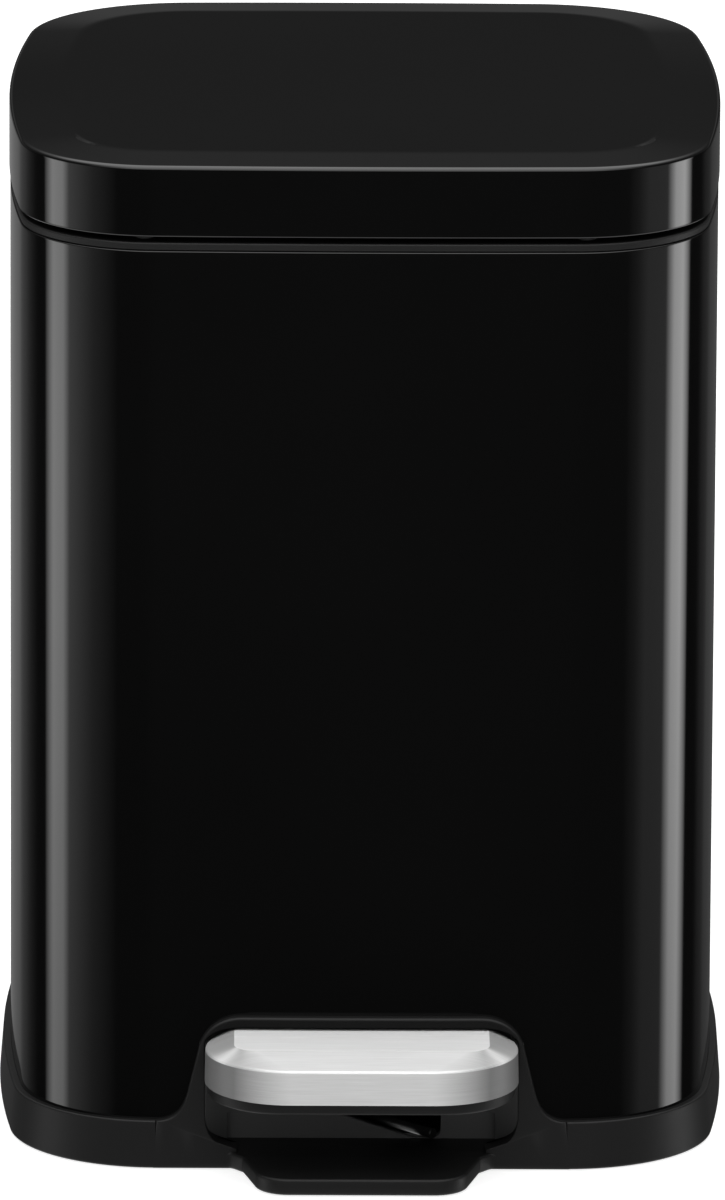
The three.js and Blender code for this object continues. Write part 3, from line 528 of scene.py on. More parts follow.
# Inner lid: an upturned tray with a flange round its mouth and a raised panel inside.
def lidLiner():
    top, bottom = linerHigh[2], linerLow[2]
    out = linerHigh[0] - lidHigh[0]
    wall, flange = liner["wall"], liner["flange"]
    under = top - wall
    inset = out - liner["panelInset"]
    profile = rounded([
        (inset, top), (out - 1.5, top, 2), (out, top - 2.4, 2), (out, bottom, 0.4),
        (out - flange, bottom, 0.6), (out - flange, bottom + wall, 0.6), (out - wall, bottom + wall, 0.8),
        (out - wall - 1, under, 3), (inset + 2.5, under, 1.2), (inset, under - liner["panelDrop"], 1.2),
        (inset - 4, under - liner["panelDrop"])], 8)
    ring = swept(planColumns(bodyPlan), profile)
    middleTop = np.array([0, 0, top])
    middleUnder = np.array([0, 0, under - liner["panelDrop"]])
    grid = np.concatenate([shrunk(ring[0], middleTop, [0.06, 0.5]), ring,
                           shrunk(ring[-1], middleUnder, [0.7, 0.4, 0.06])])
    return gridMesh(grid, poles=(middleTop, middleUnder))


makePiece("lid_inner", lidLiner(), "lid_liner")
print("lid made")

shell = {"inset": 0.3, "steel": 0.7, "openingHalf": 45.8, "openingTop": 43.5, "shoulder": (11.7, 6.0),
         "seamWidth": 0.5, "seamDepth": 0.18}


# Body: one bent sheet. Its lower edge follows the arch's opening in front: straight across, an
# elliptical shoulder, then straight down. A welded seam runs up the middle of the back.
def bodyShell():
    half, top = shell["openingHalf"], shell["openingTop"]
    columns = planColumns(bodyPlan, doubled=(half, *(half - d for d in (0.3, 1.0, 2.2, 4.0, 6.5, 9.5))))
    wall = -shell["inset"]
    profile = rounded([(wall, shellLow[2]), (wall, shellHigh[2], 0.3), (wall - shell["steel"], shellHigh[2], 0.3),
                       (wall - shell["steel"], shellLow[2])], 4)
    grid = swept(columns, profile)
    x, y = np.abs(grid[..., 0]), grid[..., 1]
    wide, tall = shell["shoulder"]
    share = np.clip((x - (half - wide)) / wide, 0, 1)
    lowest = np.where((x < half) & (y < 0), top - tall + tall * np.sqrt(1 - share ** 2), shellLow[2])
    atBottom = (grid[..., 2] <= shellLow[2] + 0.001)
    grid[..., 2] = np.where(atBottom, lowest, grid[..., 2])
    seam = shell["seamDepth"] * np.exp(-(grid[..., 0] / shell["seamWidth"]) ** 2) * (y > 0)
    grid[..., 1] -= seam
    return gridMesh(grid, closeRows=True)


makePiece("steel_body", bodyShell(), "body_shell")

collar = {"flange": 9.0, "leg": 3.3, "armGap": 6.8, "rodGap": 17.0}


# Collar: the plastic rim that the lid closes on, open behind for the hinge arm and cut back there
# for the rod.
def rimCollar():
    top, bottom = collarHigh[2], collarLow[2]
    joint = shellHigh[2] + 0.3
    profile = rounded([
        (-0.5, joint, 0.25), (-0.5, top, 0.5), (-collar["flange"], top, 0.5), (-collar["flange"], joint - 1.7, 0.4),
        (-collar["leg"], joint - 1.7, 0.3), (-collar["leg"], bottom, 0.3), (-1.3, bottom, 0.2), (-1.3, joint, 0)],
        5, 0.2, True)
    columns = planColumns(bodyPlan, rearGap=collar["armGap"])
    x = columns[:, 0] + columns[:, 2] * np.cos(columns[:, 3])
    nearRod = (np.abs(x) < collar["rodGap"]) & (np.sin(columns[:, 3]) > 0)
    grid = swept(columns, profile, np.where(nearRod, -collar["leg"], -99.0))
    return gridMesh(grid, closeColumns=False, closeRows=True, capColumns=True)


makePiece("rim_ring", rimCollar(), "rim_collar")
print("body made")

base = {"bandTop": 14.2, "flareTop": 1.8, "flareBottom": 2.9, "wallOut": -1.3, "wallIn": -3.3, "floorTop": 45.0,
        "floorUnder": 43.0, "edge": 0.55, "shellSeat": 6.0}
arch = {"foot": 59.0, "legFoot": 49.7, "legFootZ": 23.2, "shoulderX": 46.4, "shoulderZ": 36.9, "top": 45.3,
        "flatHalf": 34.2, "innerHalf": 44.8, "innerTop": 42.1, "innerShoulder": (10.7, 4.8), "proud": 2.3,
        "toeRoot": 35.5, "cornerZ": 6.4, "legTop": 9.0, "shoulderPull": 4.8, "topPull": 6.2,
        "outerRound": 0.8, "innerRound": 0.5, "back": -104.5}
bottomZ = baseLow[2] - 0.5


# How far the band and the arch stand out of the body at a height: the band leans out downwards
# in a straight line, and the arch keeps its own face above it.
def standOut(x, z):
    down = (base["bandTop"] - z) / (base["bandTop"] - bottomZ)
    band = base["flareTop"] + (base["flareBottom"] - base["flareTop"]) * down
    rise = np.clip((z - bottomZ) / 16, 0, 1)
    face = base["flareBottom"] + (arch["proud"] - base["flareBottom"]) * rise * rise * (3 - 2 * rise)
    near = np.clip((arch["foot"] - np.abs(x)) / 7, 0, 1)
    near = near * near * (3 - 2 * near)
    low = np.clip(1 - (z - bottomZ) / base["edge"], 0, 1)
    return band * (1 - near) + face * near - base["edge"] * (1 - np.sqrt(1 - low ** 2))


def bezier(points, count, endpoint=False):
    t = np.linspace(0, 1, count, endpoint=endpoint)[:, None]
    points = np.array(points, float)
    if len(points) == 2:
        return points[0] * (1 - t) + points[1] * t
    if len(points) == 3:
        return points[0] * (1 - t) ** 2 + points[1] * 2 * t * (1 - t) + points[2] * t ** 2
    return (points[0] * (1 - t) ** 3 + points[1] * 3 * t * (1 - t) ** 2
            + points[2] * 3 * t ** 2 * (1 - t) + points[3] * t ** 3)


def mirrored(half):
    return np.vstack([half, half[::-1][1:] * [-1, 1]])


# Arch: columns run along its outline from the right foot over the top to the left, rows across its
# face from the outer edge to the opening and back into the recess. Both edges are quarter rounds.
def archFrame():
    leg = np.array([arch["legFoot"], arch["legFootZ"]])
    shoulder = np.array([arch["shoulderX"], arch["shoulderZ"]])
    lean = (shoulder - leg) / np.linalg.norm(shoulder - leg)
    under = leg - lean * (leg[1] - base["bandTop"]) / lean[1]
    top, flat = arch["top"], arch["flatHalf"]
    climb = bottomZ + np.array([0, 0.08, 0.25, 0.55, 1.5, 3.5])
    outer = np.vstack([
        np.column_stack([np.full(6, arch["foot"] + 0.6), climb]),
        bezier([(arch["foot"], base["bandTop"]), under, leg], 19), bezier([leg, shoulder], 12),
        bezier([shoulder, shoulder + lean * arch["shoulderPull"], (flat + arch["topPull"], top), (flat, top)], 26),
        bezier([(flat, top), (0, top)], 12, True)])
    half, innerTop = arch["innerHalf"], arch["innerTop"]
    wide, tall = arch["innerShoulder"]
    turn = np.linspace(0, math.pi / 2, 26, endpoint=False)
    root, low = arch["toeRoot"], arch["cornerZ"]
    legTop = low + arch["legTop"]
    inner = np.vstack([
        np.column_stack([np.full(6, root), climb]),
        bezier([(root, low - 0.4), (half - 0.9, low + 0.6), (half - 0.5, legTop - 3.5), (half, legTop)], 19),
        bezier([(half, legTop), (half, innerTop - tall)], 12),
        np.column_stack([half - wide + wide * np.cos(turn), innerTop - tall + tall * np.sin(turn)]),
        bezier([(half - wide, innerTop), (0, innerTop)], 12, True)])
    outer, inner = mirrored(outer), mirrored(inner)
    across = inner - outer
    width = np.linalg.norm(across, axis=1, keepdims=True)
    across /= width
    wallY = -bodyPlan["halfDepth"] + bodyPlan["frontBow"] - np.sqrt(bodyPlan["frontBow"] ** 2 - outer[:, 0] ** 2)
    rows, quarter = [], np.linspace(0, math.pi / 2, 6)
    edge = np.where(outer[:, 1:] < base["bandTop"], 0.02, arch["outerRound"])

    def addRow(plan, proud):
        tuck = np.where(np.abs(plan[:, 0]) > arch["foot"] + 0.3, 0.03, 0)
        rows.append(np.column_stack([plan[:, 0], wallY - proud + tuck, plan[:, 1]]))
    addRow(outer, -0.25)
    for angle in quarter:
        place = outer + across * edge * (1 - math.cos(angle))
        addRow(place, standOut(place[:, 0], place[:, 1]) - edge[:, 0] * (1 - math.sin(angle)))
    for share in np.linspace(0.12, 0.88, 7):
        reach = edge + share * (width - edge - arch["innerRound"])
        place = outer + across * reach
        addRow(place, standOut(place[:, 0], place[:, 1]))
    for angle in quarter:
        radius = arch["innerRound"]
        place = inner - across * radius * (1 - math.sin(angle))
        addRow(place, standOut(place[:, 0], place[:, 1]) - radius * (1 - math.cos(angle)))
    rows.append(np.column_stack([inner[:, 0], np.full(len(inner), arch["back"]), inner[:, 1]]))
    behind = outer * 0.5 + inner * 0.5
    rows.append(np.column_stack([behind[:, 0], np.full(len(inner), arch["back"]), behind[:, 1]]))
    return gridMesh(np.array(rows), closeColumns=False, closeRows=True, capColumns=True)


# Band: the skirt round the foot of the can, from one side of the arch to the other.
def baseBand():
    edge, wallIn = base["edge"], base["wallIn"]
    profile = rounded([(-0.25, base["bandTop"], 0), (base["flareTop"], base["bandTop"], edge),
                       (base["flareBottom"], bottomZ, edge + 0.2), (wallIn, bottomZ, 0.4),
                       (wallIn, base["shellSeat"], 0), (-0.25, base["shellSeat"], 0)], 6, 0.3, True)
    return gridMesh(swept(planColumns(bodyPlan, frontGap=arch["foot"]), profile),
                    closeColumns=False, closeRows=True, capColumns=True)


# Inner wall of the base with its floor, which the bucket stands on.
def baseInside():
    out, inside = base["wallOut"], base["wallIn"]
    wall = rounded([(out, base["shellSeat"], 0.3), (out, base["floorTop"], 0.5), (inside, base["floorTop"], 0.5),
                    (inside, base["shellSeat"], 0.3)], 4, 0.2, True)
    ring = gridMesh(swept(planColumns(bodyPlan, frontGap=arch["innerHalf"] + 2), wall),
                    closeColumns=False, closeRows=True, capColumns=True)
    rim = swept(planColumns(bodyPlan), np.array([(inside, base["floorUnder"]), (inside, base["floorTop"] - 0.6)]))
    floor = gridMesh(rim, capRows=True)
    return joined(ring, floor)


toe = {"reach": 26.0, "root": 34.0, "tip": 28.5, "corner": 10.0, "top": 5.2, "edge": 0.9, "sillHalf": 38.6,
       "sillFront": -97.0, "sillTop": 14.6, "wall": 2.0, "gap": 0.8, "wallStart": 0.3, "wallEdge": 0.3}
notch = {"left": -7.5, "right": 23.0, "high": 12.8, "low": 5.4, "run": 22.5, "round": 3.0}
pad = {"half": 44.9, "radius": 25.0, "middle": -118.0, "topHalf": 36.4, "topCorner": 6.0}


# Toe plate: a tongue that narrows to the front with round corners, running back as the floor of
# the recess.
def toePlate():
    front = -bodyPlan["halfDepth"] - base["flareBottom"]
    tip = front - toe["reach"]
    side = arch["innerHalf"] + 0.4
    outline = rounded([(side, toe["sillFront"] + 1, 0), (side, front + 1.8, 0), (toe["root"] + 3.5, front + 0.9, 3),
                       (toe["root"], front - 3.5, 2.6), (toe["tip"], tip, toe["corner"]),
                       (-toe["tip"], tip, toe["corner"]), (-toe["root"], front - 3.5, 2.6),
                       (-toe["root"] - 3.5, front + 0.9, 3), (-side, front + 1.8, 0),
                       (-side, toe["sillFront"] + 1, 0)], 12, 0, True)
    return plate(outline, bottomZ, toe["top"], toe["edge"])


# The notch in the sill: its lower edge slopes down to the right and ends in a round, where the
# height is low + radius - sqrt(radius^2 - distance^2).
def sillHeight(x):
    left, right, low, radius = notch["left"], notch["right"], notch["low"], notch["round"]
    slope = np.maximum(notch["high"] + (x - left) * (low - notch["high"]) / notch["run"], low)
    end = low + radius - np.sqrt(radius ** 2 - np.clip(x - right + radius, 0, radius) ** 2)
    return np.where((x > left) & (x < right), np.where(x < right - radius, slope, end), toe["sillTop"])


# Recess: the lower wall follows the pedal's round ends and then the straight sill; the upper wall
# goes right round behind the pedal.
def recessWalls():
    reach = pad["radius"] + toe["gap"]
    straight = pad["half"] - pad["radius"]
    endAngle = math.acos((toe["sillHalf"] - straight) / reach)
    angle = np.linspace(toe["wallStart"], endAngle, 16)
    curve = np.column_stack([straight + reach * np.cos(angle), pad["middle"] + reach * np.sin(angle)])
    sill = np.column_stack([np.concatenate([np.linspace(toe["sillHalf"], 23.2, 8),
                                            np.linspace(23.02, 22.6, 4), np.linspace(22.3, -7.2, 70),
                                            [-7.48, -7.52], np.linspace(-8, -toe["sillHalf"], 14)]),
                            np.full(98, toe["sillFront"])])
    front = np.vstack([curve, sill, (curve * [-1, 1])[::-1]])
    outward = np.vstack([np.column_stack([np.cos(angle), np.sin(angle)]), np.repeat([[0.0, 1.0]], len(sill), 0),
                         np.column_stack([-np.cos(angle), np.sin(angle)])[::-1]])
    back = front + outward * toe["wall"]
    isSill = np.zeros(len(front), bool)
    isSill[16:16 + len(sill)] = True
    high = np.where(isSill, sillHeight(front[:, 0]), toe["sillTop"])
    low = np.full(len(front), toe["top"] - 0.3)
    edge = toe["wallEdge"]
    rows = [np.column_stack([front, low]), np.column_stack([front, high - edge]),
            np.column_stack([front + outward * edge, high]), np.column_stack([back - outward * edge, high]),
            np.column_stack([back, high - edge]), np.column_stack([back, low])]
    lower = gridMesh(np.array(rows), closeColumns=False, closeRows=True, capColumns=True)

    turn = np.linspace(toe["wallStart"], math.pi / 2, 24)
    arc = np.column_stack([straight + reach * np.cos(turn), pad["middle"] + reach * np.sin(turn)])
    ring = np.vstack([arc, (arc * [-1, 1])[::-1]])
    away = np.column_stack([np.cos(turn), np.sin(turn)])
    away = np.vstack([away, (away * [-1, 1])[::-1]])
    outer = ring + away * toe["wall"]
    wide, tall = arch["innerShoulder"]
    share = np.clip((np.abs(outer[:, 0]) - arch["innerHalf"] + wide) / wide, 0, 1)
    nearFront = outer[:, 1] < -bodyPlan["halfDepth"] + 7
    z0 = np.full(len(ring), toe["sillTop"] - 1)
    z1 = np.where(nearFront, arch["innerTop"] - tall + tall * np.sqrt(1 - share ** 2), base["floorUnder"])
    upper = gridMesh(np.array([np.column_stack([ring, z0]), np.column_stack([ring, z1]),
                               np.column_stack([outer, z1]), np.column_stack([outer, z0])]),
                     closeColumns=False, closeRows=True, capColumns=True)
    return joined(lower, upper)


makePiece("base_band", baseBand(), "base_housing")
makePiece("base_inside", baseInside(), "base_housing")
makePiece("base_arch", archFrame(), "base_housing", sharp=50.0)
makePiece("toe_plate", toePlate(), "base_housing")
makePiece("pedal_recess", recessWalls(), "base_housing", material=recessPlastic)
print("base made")

coverLow, coverHigh = localBox("pedal_cover")
coreLow, coreHigh = localBox("pedal_core")
pedal = {"bevel": 10.5, "rim": 37.9, "steel": 0.8, "rimRound": 1.0, "plateauRound": 3.6, "coreInset": 1.3,
         "coreEdge": 0.7, "coreDrop": 0.4, "coreDip": 0.6, "coreFloor": 4.0}
# Painted shade on the pedal's steel, how much darker its colour is drawn: at the front and, added
# to that, at the ends, reached that many degrees round; the bevel also has a lighter painted highlight on its way
# round.
paintedPedalShading = {"skirt": 0.4, "skirtEnd": 0.46, "skirtReach": 42.0, "bevel": 0.22, "bevelEnd": 0.34, "bevelReach": 38.0,
        "paintedGlint": 0.36, "glintAt": 57.0, "glintWidth": 9.0}


# The pad's plan: two straight sides and two half circles, and inside it the plateau's rounded
# rectangle. Both have the same direction at each column, so the bevel between them is ruled.
def padColumns():
    straight, topStraight = pad["half"] - pad["radius"], pad["topHalf"] - pad["topCorner"]
    topSide = pad["radius"] - pedal["bevel"] - pad["topCorner"]
    quarter = np.linspace(0, math.pi / 2, 31)
    side = np.linspace(0, 1, 15)[1:]
    # one quarter: half of the end's straight, the corner, then half of the front
    cx = np.concatenate([np.full(8, straight), np.full(31, straight), straight * (1 - side)])
    topX = np.concatenate([np.full(39, topStraight), topStraight * (1 - side)])
    topY = np.concatenate([topSide * np.linspace(0.06, 0.94, 8), np.full(45, topSide)])
    angle = np.concatenate([np.linspace(0, 0.004, 8), 0.006 + quarter * (1 - 0.006 / quarter[-1]),
                            np.full(14, math.pi / 2)])
    right = np.column_stack([cx, topX, topY, angle])
    left = right[::-1][1:] * [-1, -1, 1, -1] + [0, 0, 0, math.pi]
    rear = np.vstack([right, left])
    return np.vstack([rear, rear * [-1, -1, -1, 1] + [0, 0, 0, math.pi]])


# Rows run from the plateau to the rim: with t = 1 + growth / bevel, each point is
# (1 - t) * plateau + t * rim.
def lofted(columns, profile, bevel):
    cx, topX, topY, angle = columns.T
    growth, height = profile[:, :1], profile[:, 1:2]
    t = np.clip(1 + growth / bevel, 0, 1)
    radius = pad["topCorner"] + (pad["radius"] - pad["topCorner"]) * t + np.minimum(growth + bevel, 0)
    return np.stack([topX + (cx - topX) * t + radius * np.cos(angle),
                     pad["middle"] + topY * (1 - t) + radius * np.sin(angle),
                     np.repeat(height, len(columns), 1)], -1)


# Pedal cover: a flat plateau, a wide bevel and a deep skirt in thin sheet. The grain runs across
# the pedal on top and round it on the skirt; the skirt and bevel carry painted shade and a painted highlight.
def pedalCover():
    top, bottom = coverHigh[2], coverLow[2]
    steel = pedal["steel"]
    profile = rounded([
        (-pedal["bevel"] - 2, top), (-pedal["bevel"], top, pedal["plateauRound"]),
        (-0.25, pedal["rim"] + 0.25, pedal["rimRound"]), (0, bottom, 0.3), (-steel, bottom, 0.3),
        (-steel, pedal["rim"] - 0.8, 0.6), (-pedal["bevel"], top - steel, 2), (-pedal["bevel"] - 2, top - steel)], 8)
    columns = padColumns()
    ring = lofted(columns, profile, pedal["bevel"])
    tip, under = np.array([0, pad["middle"], top]), np.array([0, pad["middle"], top - steel])
    grid = np.concatenate([shrunk(ring[0], tip, np.linspace(0.08, 0.95, 6)), ring,
                           shrunk(ring[-1], under, [0.8, 0.4, 0.1])])
    step = np.diff(grid, axis=1, prepend=grid[:, :1])
    lengthwise = np.cumsum(np.linalg.norm(step[..., :2], axis=-1), 1)
    onSkirt = np.zeros(len(grid), bool)
    rim = 6 + int(np.argmax(profile[:, 1] < pedal["rim"] - 0.2))
    onSkirt[rim:-10] = True
    around = np.abs(np.degrees(columns[:, 3]) % 180 - 90)
    onBevel = (grid[..., 2] < top - 0.05) & ~onSkirt[:, None]
    # Painted shade and highlight: the skirt and bevel are drawn darker than the plateau, more so round the ends, and
    # the bevel has a lighter painted band.
    skirtShade = paintedPedalShading["skirt"] + paintedPedalShading["skirtEnd"] * np.clip(around / paintedPedalShading["skirtReach"], 0, 1) ** 1.3
    paintedGlint = paintedPedalShading["paintedGlint"] * np.exp(-((around - paintedPedalShading["glintAt"]) / paintedPedalShading["glintWidth"]) ** 2)
    bevelShade = paintedPedalShading["bevel"] + paintedPedalShading["bevelEnd"] * np.clip(around / paintedPedalShading["bevelReach"], 0, 1) - paintedGlint
    turn = np.where(onSkirt[:, None], skirtShade[None], np.where(onBevel, bevelShade[None], 0))
    # The grain attribute's third part carries this painted shade and highlight.
    grain = np.where(onSkirt[:, None, None], np.stack([lengthwise, grid[..., 2], turn], -1),
                     np.stack([grid[..., 0], grid[..., 1] + 60, turn], -1))
    grain = np.vstack([grain.reshape(-1, 3), [(0, 60, 0), (0, 60, 0)]])
    return gridMesh(grid, poles=(tip, under)), grain


coverShape, coverGrainAndShade = pedalCover()
padPiece = makePiece("pedal_pad", coverShape, "pedal_cover", coverGrainAndShade)
padPiece.visible_glossy = False


# Pedal core: the plastic body inside the cover, which shows as a lip under the skirt.
def pedalCore():
    top, bottom, inset = coreHigh[2] - pedal["coreDrop"], coreLow[2], pedal["coreInset"]
    floorZ = coverLow[2] + pedal["coreFloor"]
    profile = rounded([(-12, top), (-pedal["bevel"] - 0.5, top, 1), (-inset, pedal["rim"] - 1, 0.6),
                       (-inset, bottom, pedal["coreEdge"]), (-4, bottom, 0.5), (-4, floorZ, 0.5),
                       (-12, floorZ)], 6)
    ring = lofted(padColumns(), profile, pedal["bevel"])
    sillClear = toe["sillFront"] - 3.5
    low = (ring[..., 1] > sillClear) & (ring[..., 2] < coverLow[2])
    ring[..., 2] = np.where(low, coverLow[2] - 0.05, ring[..., 2])
    tip = np.array([0, pad["middle"], coreHigh[2] - pedal["coreDip"]])
    under = np.array([0, pad["middle"], floorZ])
    grid = np.concatenate([shrunk(ring[0], tip, [0.1, 0.6]), ring, shrunk(ring[-1], under, [0.6, 0.1])])
    return gridMesh(grid, poles=(tip, under))


makePiece("pedal_lip", pedalCore(), "pedal_core", material=materials["base_plastic"])

keeperLow = localBox("axle_keeper_spring")[0]
axleLow, axleHigh = localBox("pedal_axle")
keeper = {"radius": 1.5, "rise": 14.0, "endX": 20.8, "endOut": 1.5, "turnIn": 40.0, "axleGap": 0.3}


# The keeper wire comes out of the notch, runs back along the floor and up behind the axle.
def keeperWire():
    radius, front = keeper["radius"], toe["sillFront"]
    axleY, axleZ = (axleLow[1] + axleHigh[1]) / 2, axleLow[2] - radius - keeper["axleGap"]
    low, leftX = keeperLow[2] + radius, keeperLow[0] + radius
    path = eased([(keeper["endX"], front - keeper["endOut"], low), (leftX, front + keeper["turnIn"], low),
                  (leftX, axleY - 8, axleZ), (leftX, axleY + 12, axleZ),
                  (leftX, axleY + 18, axleZ + keeper["rise"])], 5)
    return roundWire(path, radius, (0.9, 0.35, 0.2))


makePiece("keeper_wire", keeperWire(), "axle_keeper_spring", material=springSteel)

rodLow, rodHigh = localBox("push_rod")
rod = {"radius": 1.6, "side": 13.0, "corner": 3.5}


# The push rod is a bow: up one side, with both ends bent in towards the middle.
def pushRod():
    radius = rod["radius"]
    y, low, high = (rodLow[1] + rodHigh[1]) / 2, rodLow[2] + radius, rodHigh[2] - radius
    path = eased([(rodLow[0], y, low), (rod["side"], y, low), (rod["side"], y, high), (rodLow[0] + 2, y, high)],
                 rod["corner"])
    return roundWire(path, radius, (0, 1, 0))


makePiece("rod_wire", pushRod(), "push_rod")
print("pedal made")

bucketLow, bucketHigh = localBox("inner_bucket")
bucket = {"gap": 13.0, "taper": 8.0, "wall": 1.8, "rimOut": 2.5, "rimDrop": 6.0, "rear": 89.0, "lugHalf": 6.0,
          "rimTop": 263.7, "bailRadius": 1.5, "bailZ": 267.9, "gripHalf": 30.0, "gripRadius": 3.4}
bucketPlan = {**bodyPlan, "halfWidth": bodyPlan["halfWidth"] - bucket["gap"],
              "front": -bodyPlan["halfDepth"] + bucket["gap"], "rear": bucket["rear"],
              "frontCorner": bodyPlan["frontCorner"] - bucket["gap"],
              "rearCorner": bodyPlan["rearCorner"] - bucket["gap"]}
lugX = bodyPlan["halfWidth"] - bucket["gap"] + 0.3


# Bucket: a tapered tub with a turned-out rim and two lugs for its bail.
def bucketBody():
    bottom, rim, taper, wall = bucketLow[2], bucket["rimTop"], bucket["taper"], bucket["wall"]
    profile = rounded([
        (-taper - 12, bottom), (-taper, bottom, 5), (0, rim - bucket["rimDrop"], 0.6),
        (bucket["rimOut"], rim - bucket["rimDrop"], 0.4), (bucket["rimOut"], rim, 1.2), (-wall, rim, 0.8),
        (-taper - wall, bottom + wall, 5), (-taper - 14, bottom + wall)], 8)
    ring = swept(planColumns(bucketPlan), profile)
    middle = np.array([0, (bucketPlan["front"] + bucketPlan["rear"]) / 2, 0])
    tip, inside = middle + [0, 0, bottom], middle + [0, 0, bottom + wall]
    grid = np.concatenate([shrunk(ring[0], tip, [0.06, 0.6]), ring, shrunk(ring[-1], inside, [0.8, 0.5, 0.06])])
    tub = gridMesh(grid, poles=(tip, inside))
    half, top = bucket["lugHalf"], bucketHigh[2]
    outline = rounded([(-half, rim - 2, 0.5), (half, rim - 2, 0.5), (half, top, 5), (-half, top, 5)], 8, 0, True)
    lugs = [plate(outline, *sorted((side * (lugX - 1.4), side * (lugX + 1.6))), 0.4, "x") for side in (1, -1)]
    return joined(tub, *lugs)


# The bail lies along the front of the rim, its ends turned out through the lugs.
def bucketBail():
    columns = planColumns(bucketPlan, rearGap=1.0)
    x = columns[:, 0] + (columns[:, 2] + 0.2) * np.cos(columns[:, 3])
    y = columns[:, 1] + (columns[:, 2] + 0.2) * np.sin(columns[:, 3])
    front = np.column_stack([x, y])[y < -28]
    inner = lugX - 3.2
    run = np.array([[lugX + 1.9, 0], [lugX - 0.6, 0], [inner, -0.4], [inner - 1.9, -2.6], [inner - 1.6, -9]])
    left = run * [-1, 1]
    path = np.vstack([left, front, run[::-1]])
    path = np.column_stack([path, np.full(len(path), bucket["bailZ"])])
    return roundWire(path, bucket["bailRadius"])


# The grip: a sleeve with shallow rings turned into it.
def bailGrip():
    along = np.linspace(-bucket["gripHalf"] + 0.6, bucket["gripHalf"] - 0.6, 181)
    ripple = 0.22 * np.cos(along * math.pi / 2.5)
    body = np.column_stack([bucket["gripRadius"] - 0.22 + ripple, along])
    ends = bucket["gripHalf"]
    profile = np.vstack([[2.4, -ends], [2.9, -ends + 0.1], body, [2.9, ends - 0.1], [2.4, ends]])
    return turned(profile, (0, bucketPlan["front"] - 0.1, bucket["bailZ"]), "x", 36)


makePiece("bucket_tub", bucketBody(), "inner_bucket")
makePiece("bail_wire", bucketBail(), "bucket_bail")
makePiece("bail_sleeve", bailGrip(), "bail_grip")
print("bucket made")

# Round parts take their place and radius from their own boxes. A profile row is (share of the
# radius, distance from the low end, negative from the high end).
def roundPart(node, axis, profile, sides=56):
    low, high = localBox(node)
    i = "xyz".index(axis)
    middle = (low + high) / 2
    radius = max(np.delete(high - low, i)) / 2
    start, end = low[i], high[i]
    rows = [(share * radius, (start if along >= 0 and not last else end) + along) for share, along, last in profile]
    middle[i] = 0
    return turned(rows, middle, axis, sides)


# A head at one end with a low dome, then the shank.
def headedPart(node, axis, headEnd, headHeight=1.3, shank=0.55):
    dome = np.linspace(0.08, 1, 9)
    rise = headHeight * (0.35 + 0.65 * np.sqrt(1 - (dome * 0.98) ** 2))
    head = [(share, headHeight - lift, False) for share, lift in zip(dome, rise)]
    body = [(1.0, headHeight, False), (shank, headHeight + 0.1, False)]
    if headEnd == "low":
        return roundPart(node, axis, head + body + [(shank, -0.3, True), (shank * 0.8, 0.0, True)])
    head = [(share, lift - headHeight, True) for share, lift in zip(dome[::-1], rise[::-1])]
    return roundPart(node, axis, [(shank * 0.8, 0.0, False), (shank, 0.3, False), (shank, -headHeight - 0.1, True),
                                  (1.0, -headHeight, True)] + head)


for number in (1, 2, 3, 4):
    makePiece(f"rivet_{number}", headedPart(f"hinge_rivet_{number}", "y", "high"), f"hinge_rivet_{number}")
    makePiece(f"foot_{number}", roundPart(f"rubber_foot_{number}", "z", [
        (0.3, 0, False), (0.93, 0, False), (0.98, 0.15, False), (1, 0.5, False), (1, -0.5, True), (0.96, 0, True),
        (0.3, 0, True)]), f"rubber_foot_{number}")
makePiece("hinge_pin_turned", roundPart("hinge_pin", "x", [
    (0.3, 0, False), (0.75, 0, False), (1, 0.5, False), (1, -0.5, True), (0.75, 0, True),
    (0.3, 0, True)]), "hinge_pin")
for side in ("left", "right"):
    makePiece(f"bumper_{side}", roundPart(f"lid_bumper_{side}", "z", [
        (0.3, 0, False), (0.75, 0.04, False), (0.95, 0.3, False), (1, 0.7, False), (1, 0, True), (0.3, 0, True)]),
        f"lid_bumper_{side}")

screwNodes = [f"cover_screw_{n}" for n in (1, 2, 3, 4)] + ["pedal_screw_1", "pedal_screw_2", "lid_screw_left",
                                                           "lid_screw_right"]
for node in screwNodes:
    makePiece(f"{node}_head", headedPart(node, "z", "low"), node)

bracketLow, bracketHigh = localBox("hinge_bracket")
pinLow, pinHigh = localBox("hinge_pin")
hinge = {"barrel": 4.8, "plateSteel": 2.4, "plateTop": 260.4, "earIn": 6.6, "earOut": 13.1, "earFoot": 237.5}
pinY, pinZ = (pinLow[1] + pinHigh[1]) / 2, (pinLow[2] + pinHigh[2]) / 2


# Outline round a set of points, as a stretched band would lie.
def hull(points):
    order = geometry.convex_hull_2d([Vector(p) for p in points])
    return np.array(points)[order]


def circle(y, z, radius, count=72):
    angle = np.linspace(0, 2 * math.pi, count, endpoint=False)
    return np.column_stack([y + radius * np.cos(angle), z + radius * np.sin(angle)])


# Bracket: a plate behind the body with two ears that carry the pin.
def hingeBracket():
    front, back = bracketLow[1], bracketLow[1] + hinge["plateSteel"]
    backPlate = plate(rectangle(bracketLow[0], bracketHigh[0], bracketLow[2], hinge["plateTop"], 3), front, back,
                      0.35, "y")
    outline = hull(np.vstack([circle(pinY, pinZ, hinge["barrel"]),
                              [(back - 0.3, hinge["earFoot"]), (back - 0.3, hinge["plateTop"])]]))
    ears = [plate(outline, *sorted((side * hinge["earIn"], side * hinge["earOut"])), 0.4, "x") for side in (1, -1)]
    return joined(backPlate, *ears)


makePiece("bracket", hingeBracket(), "hinge_bracket")
print("small parts made")

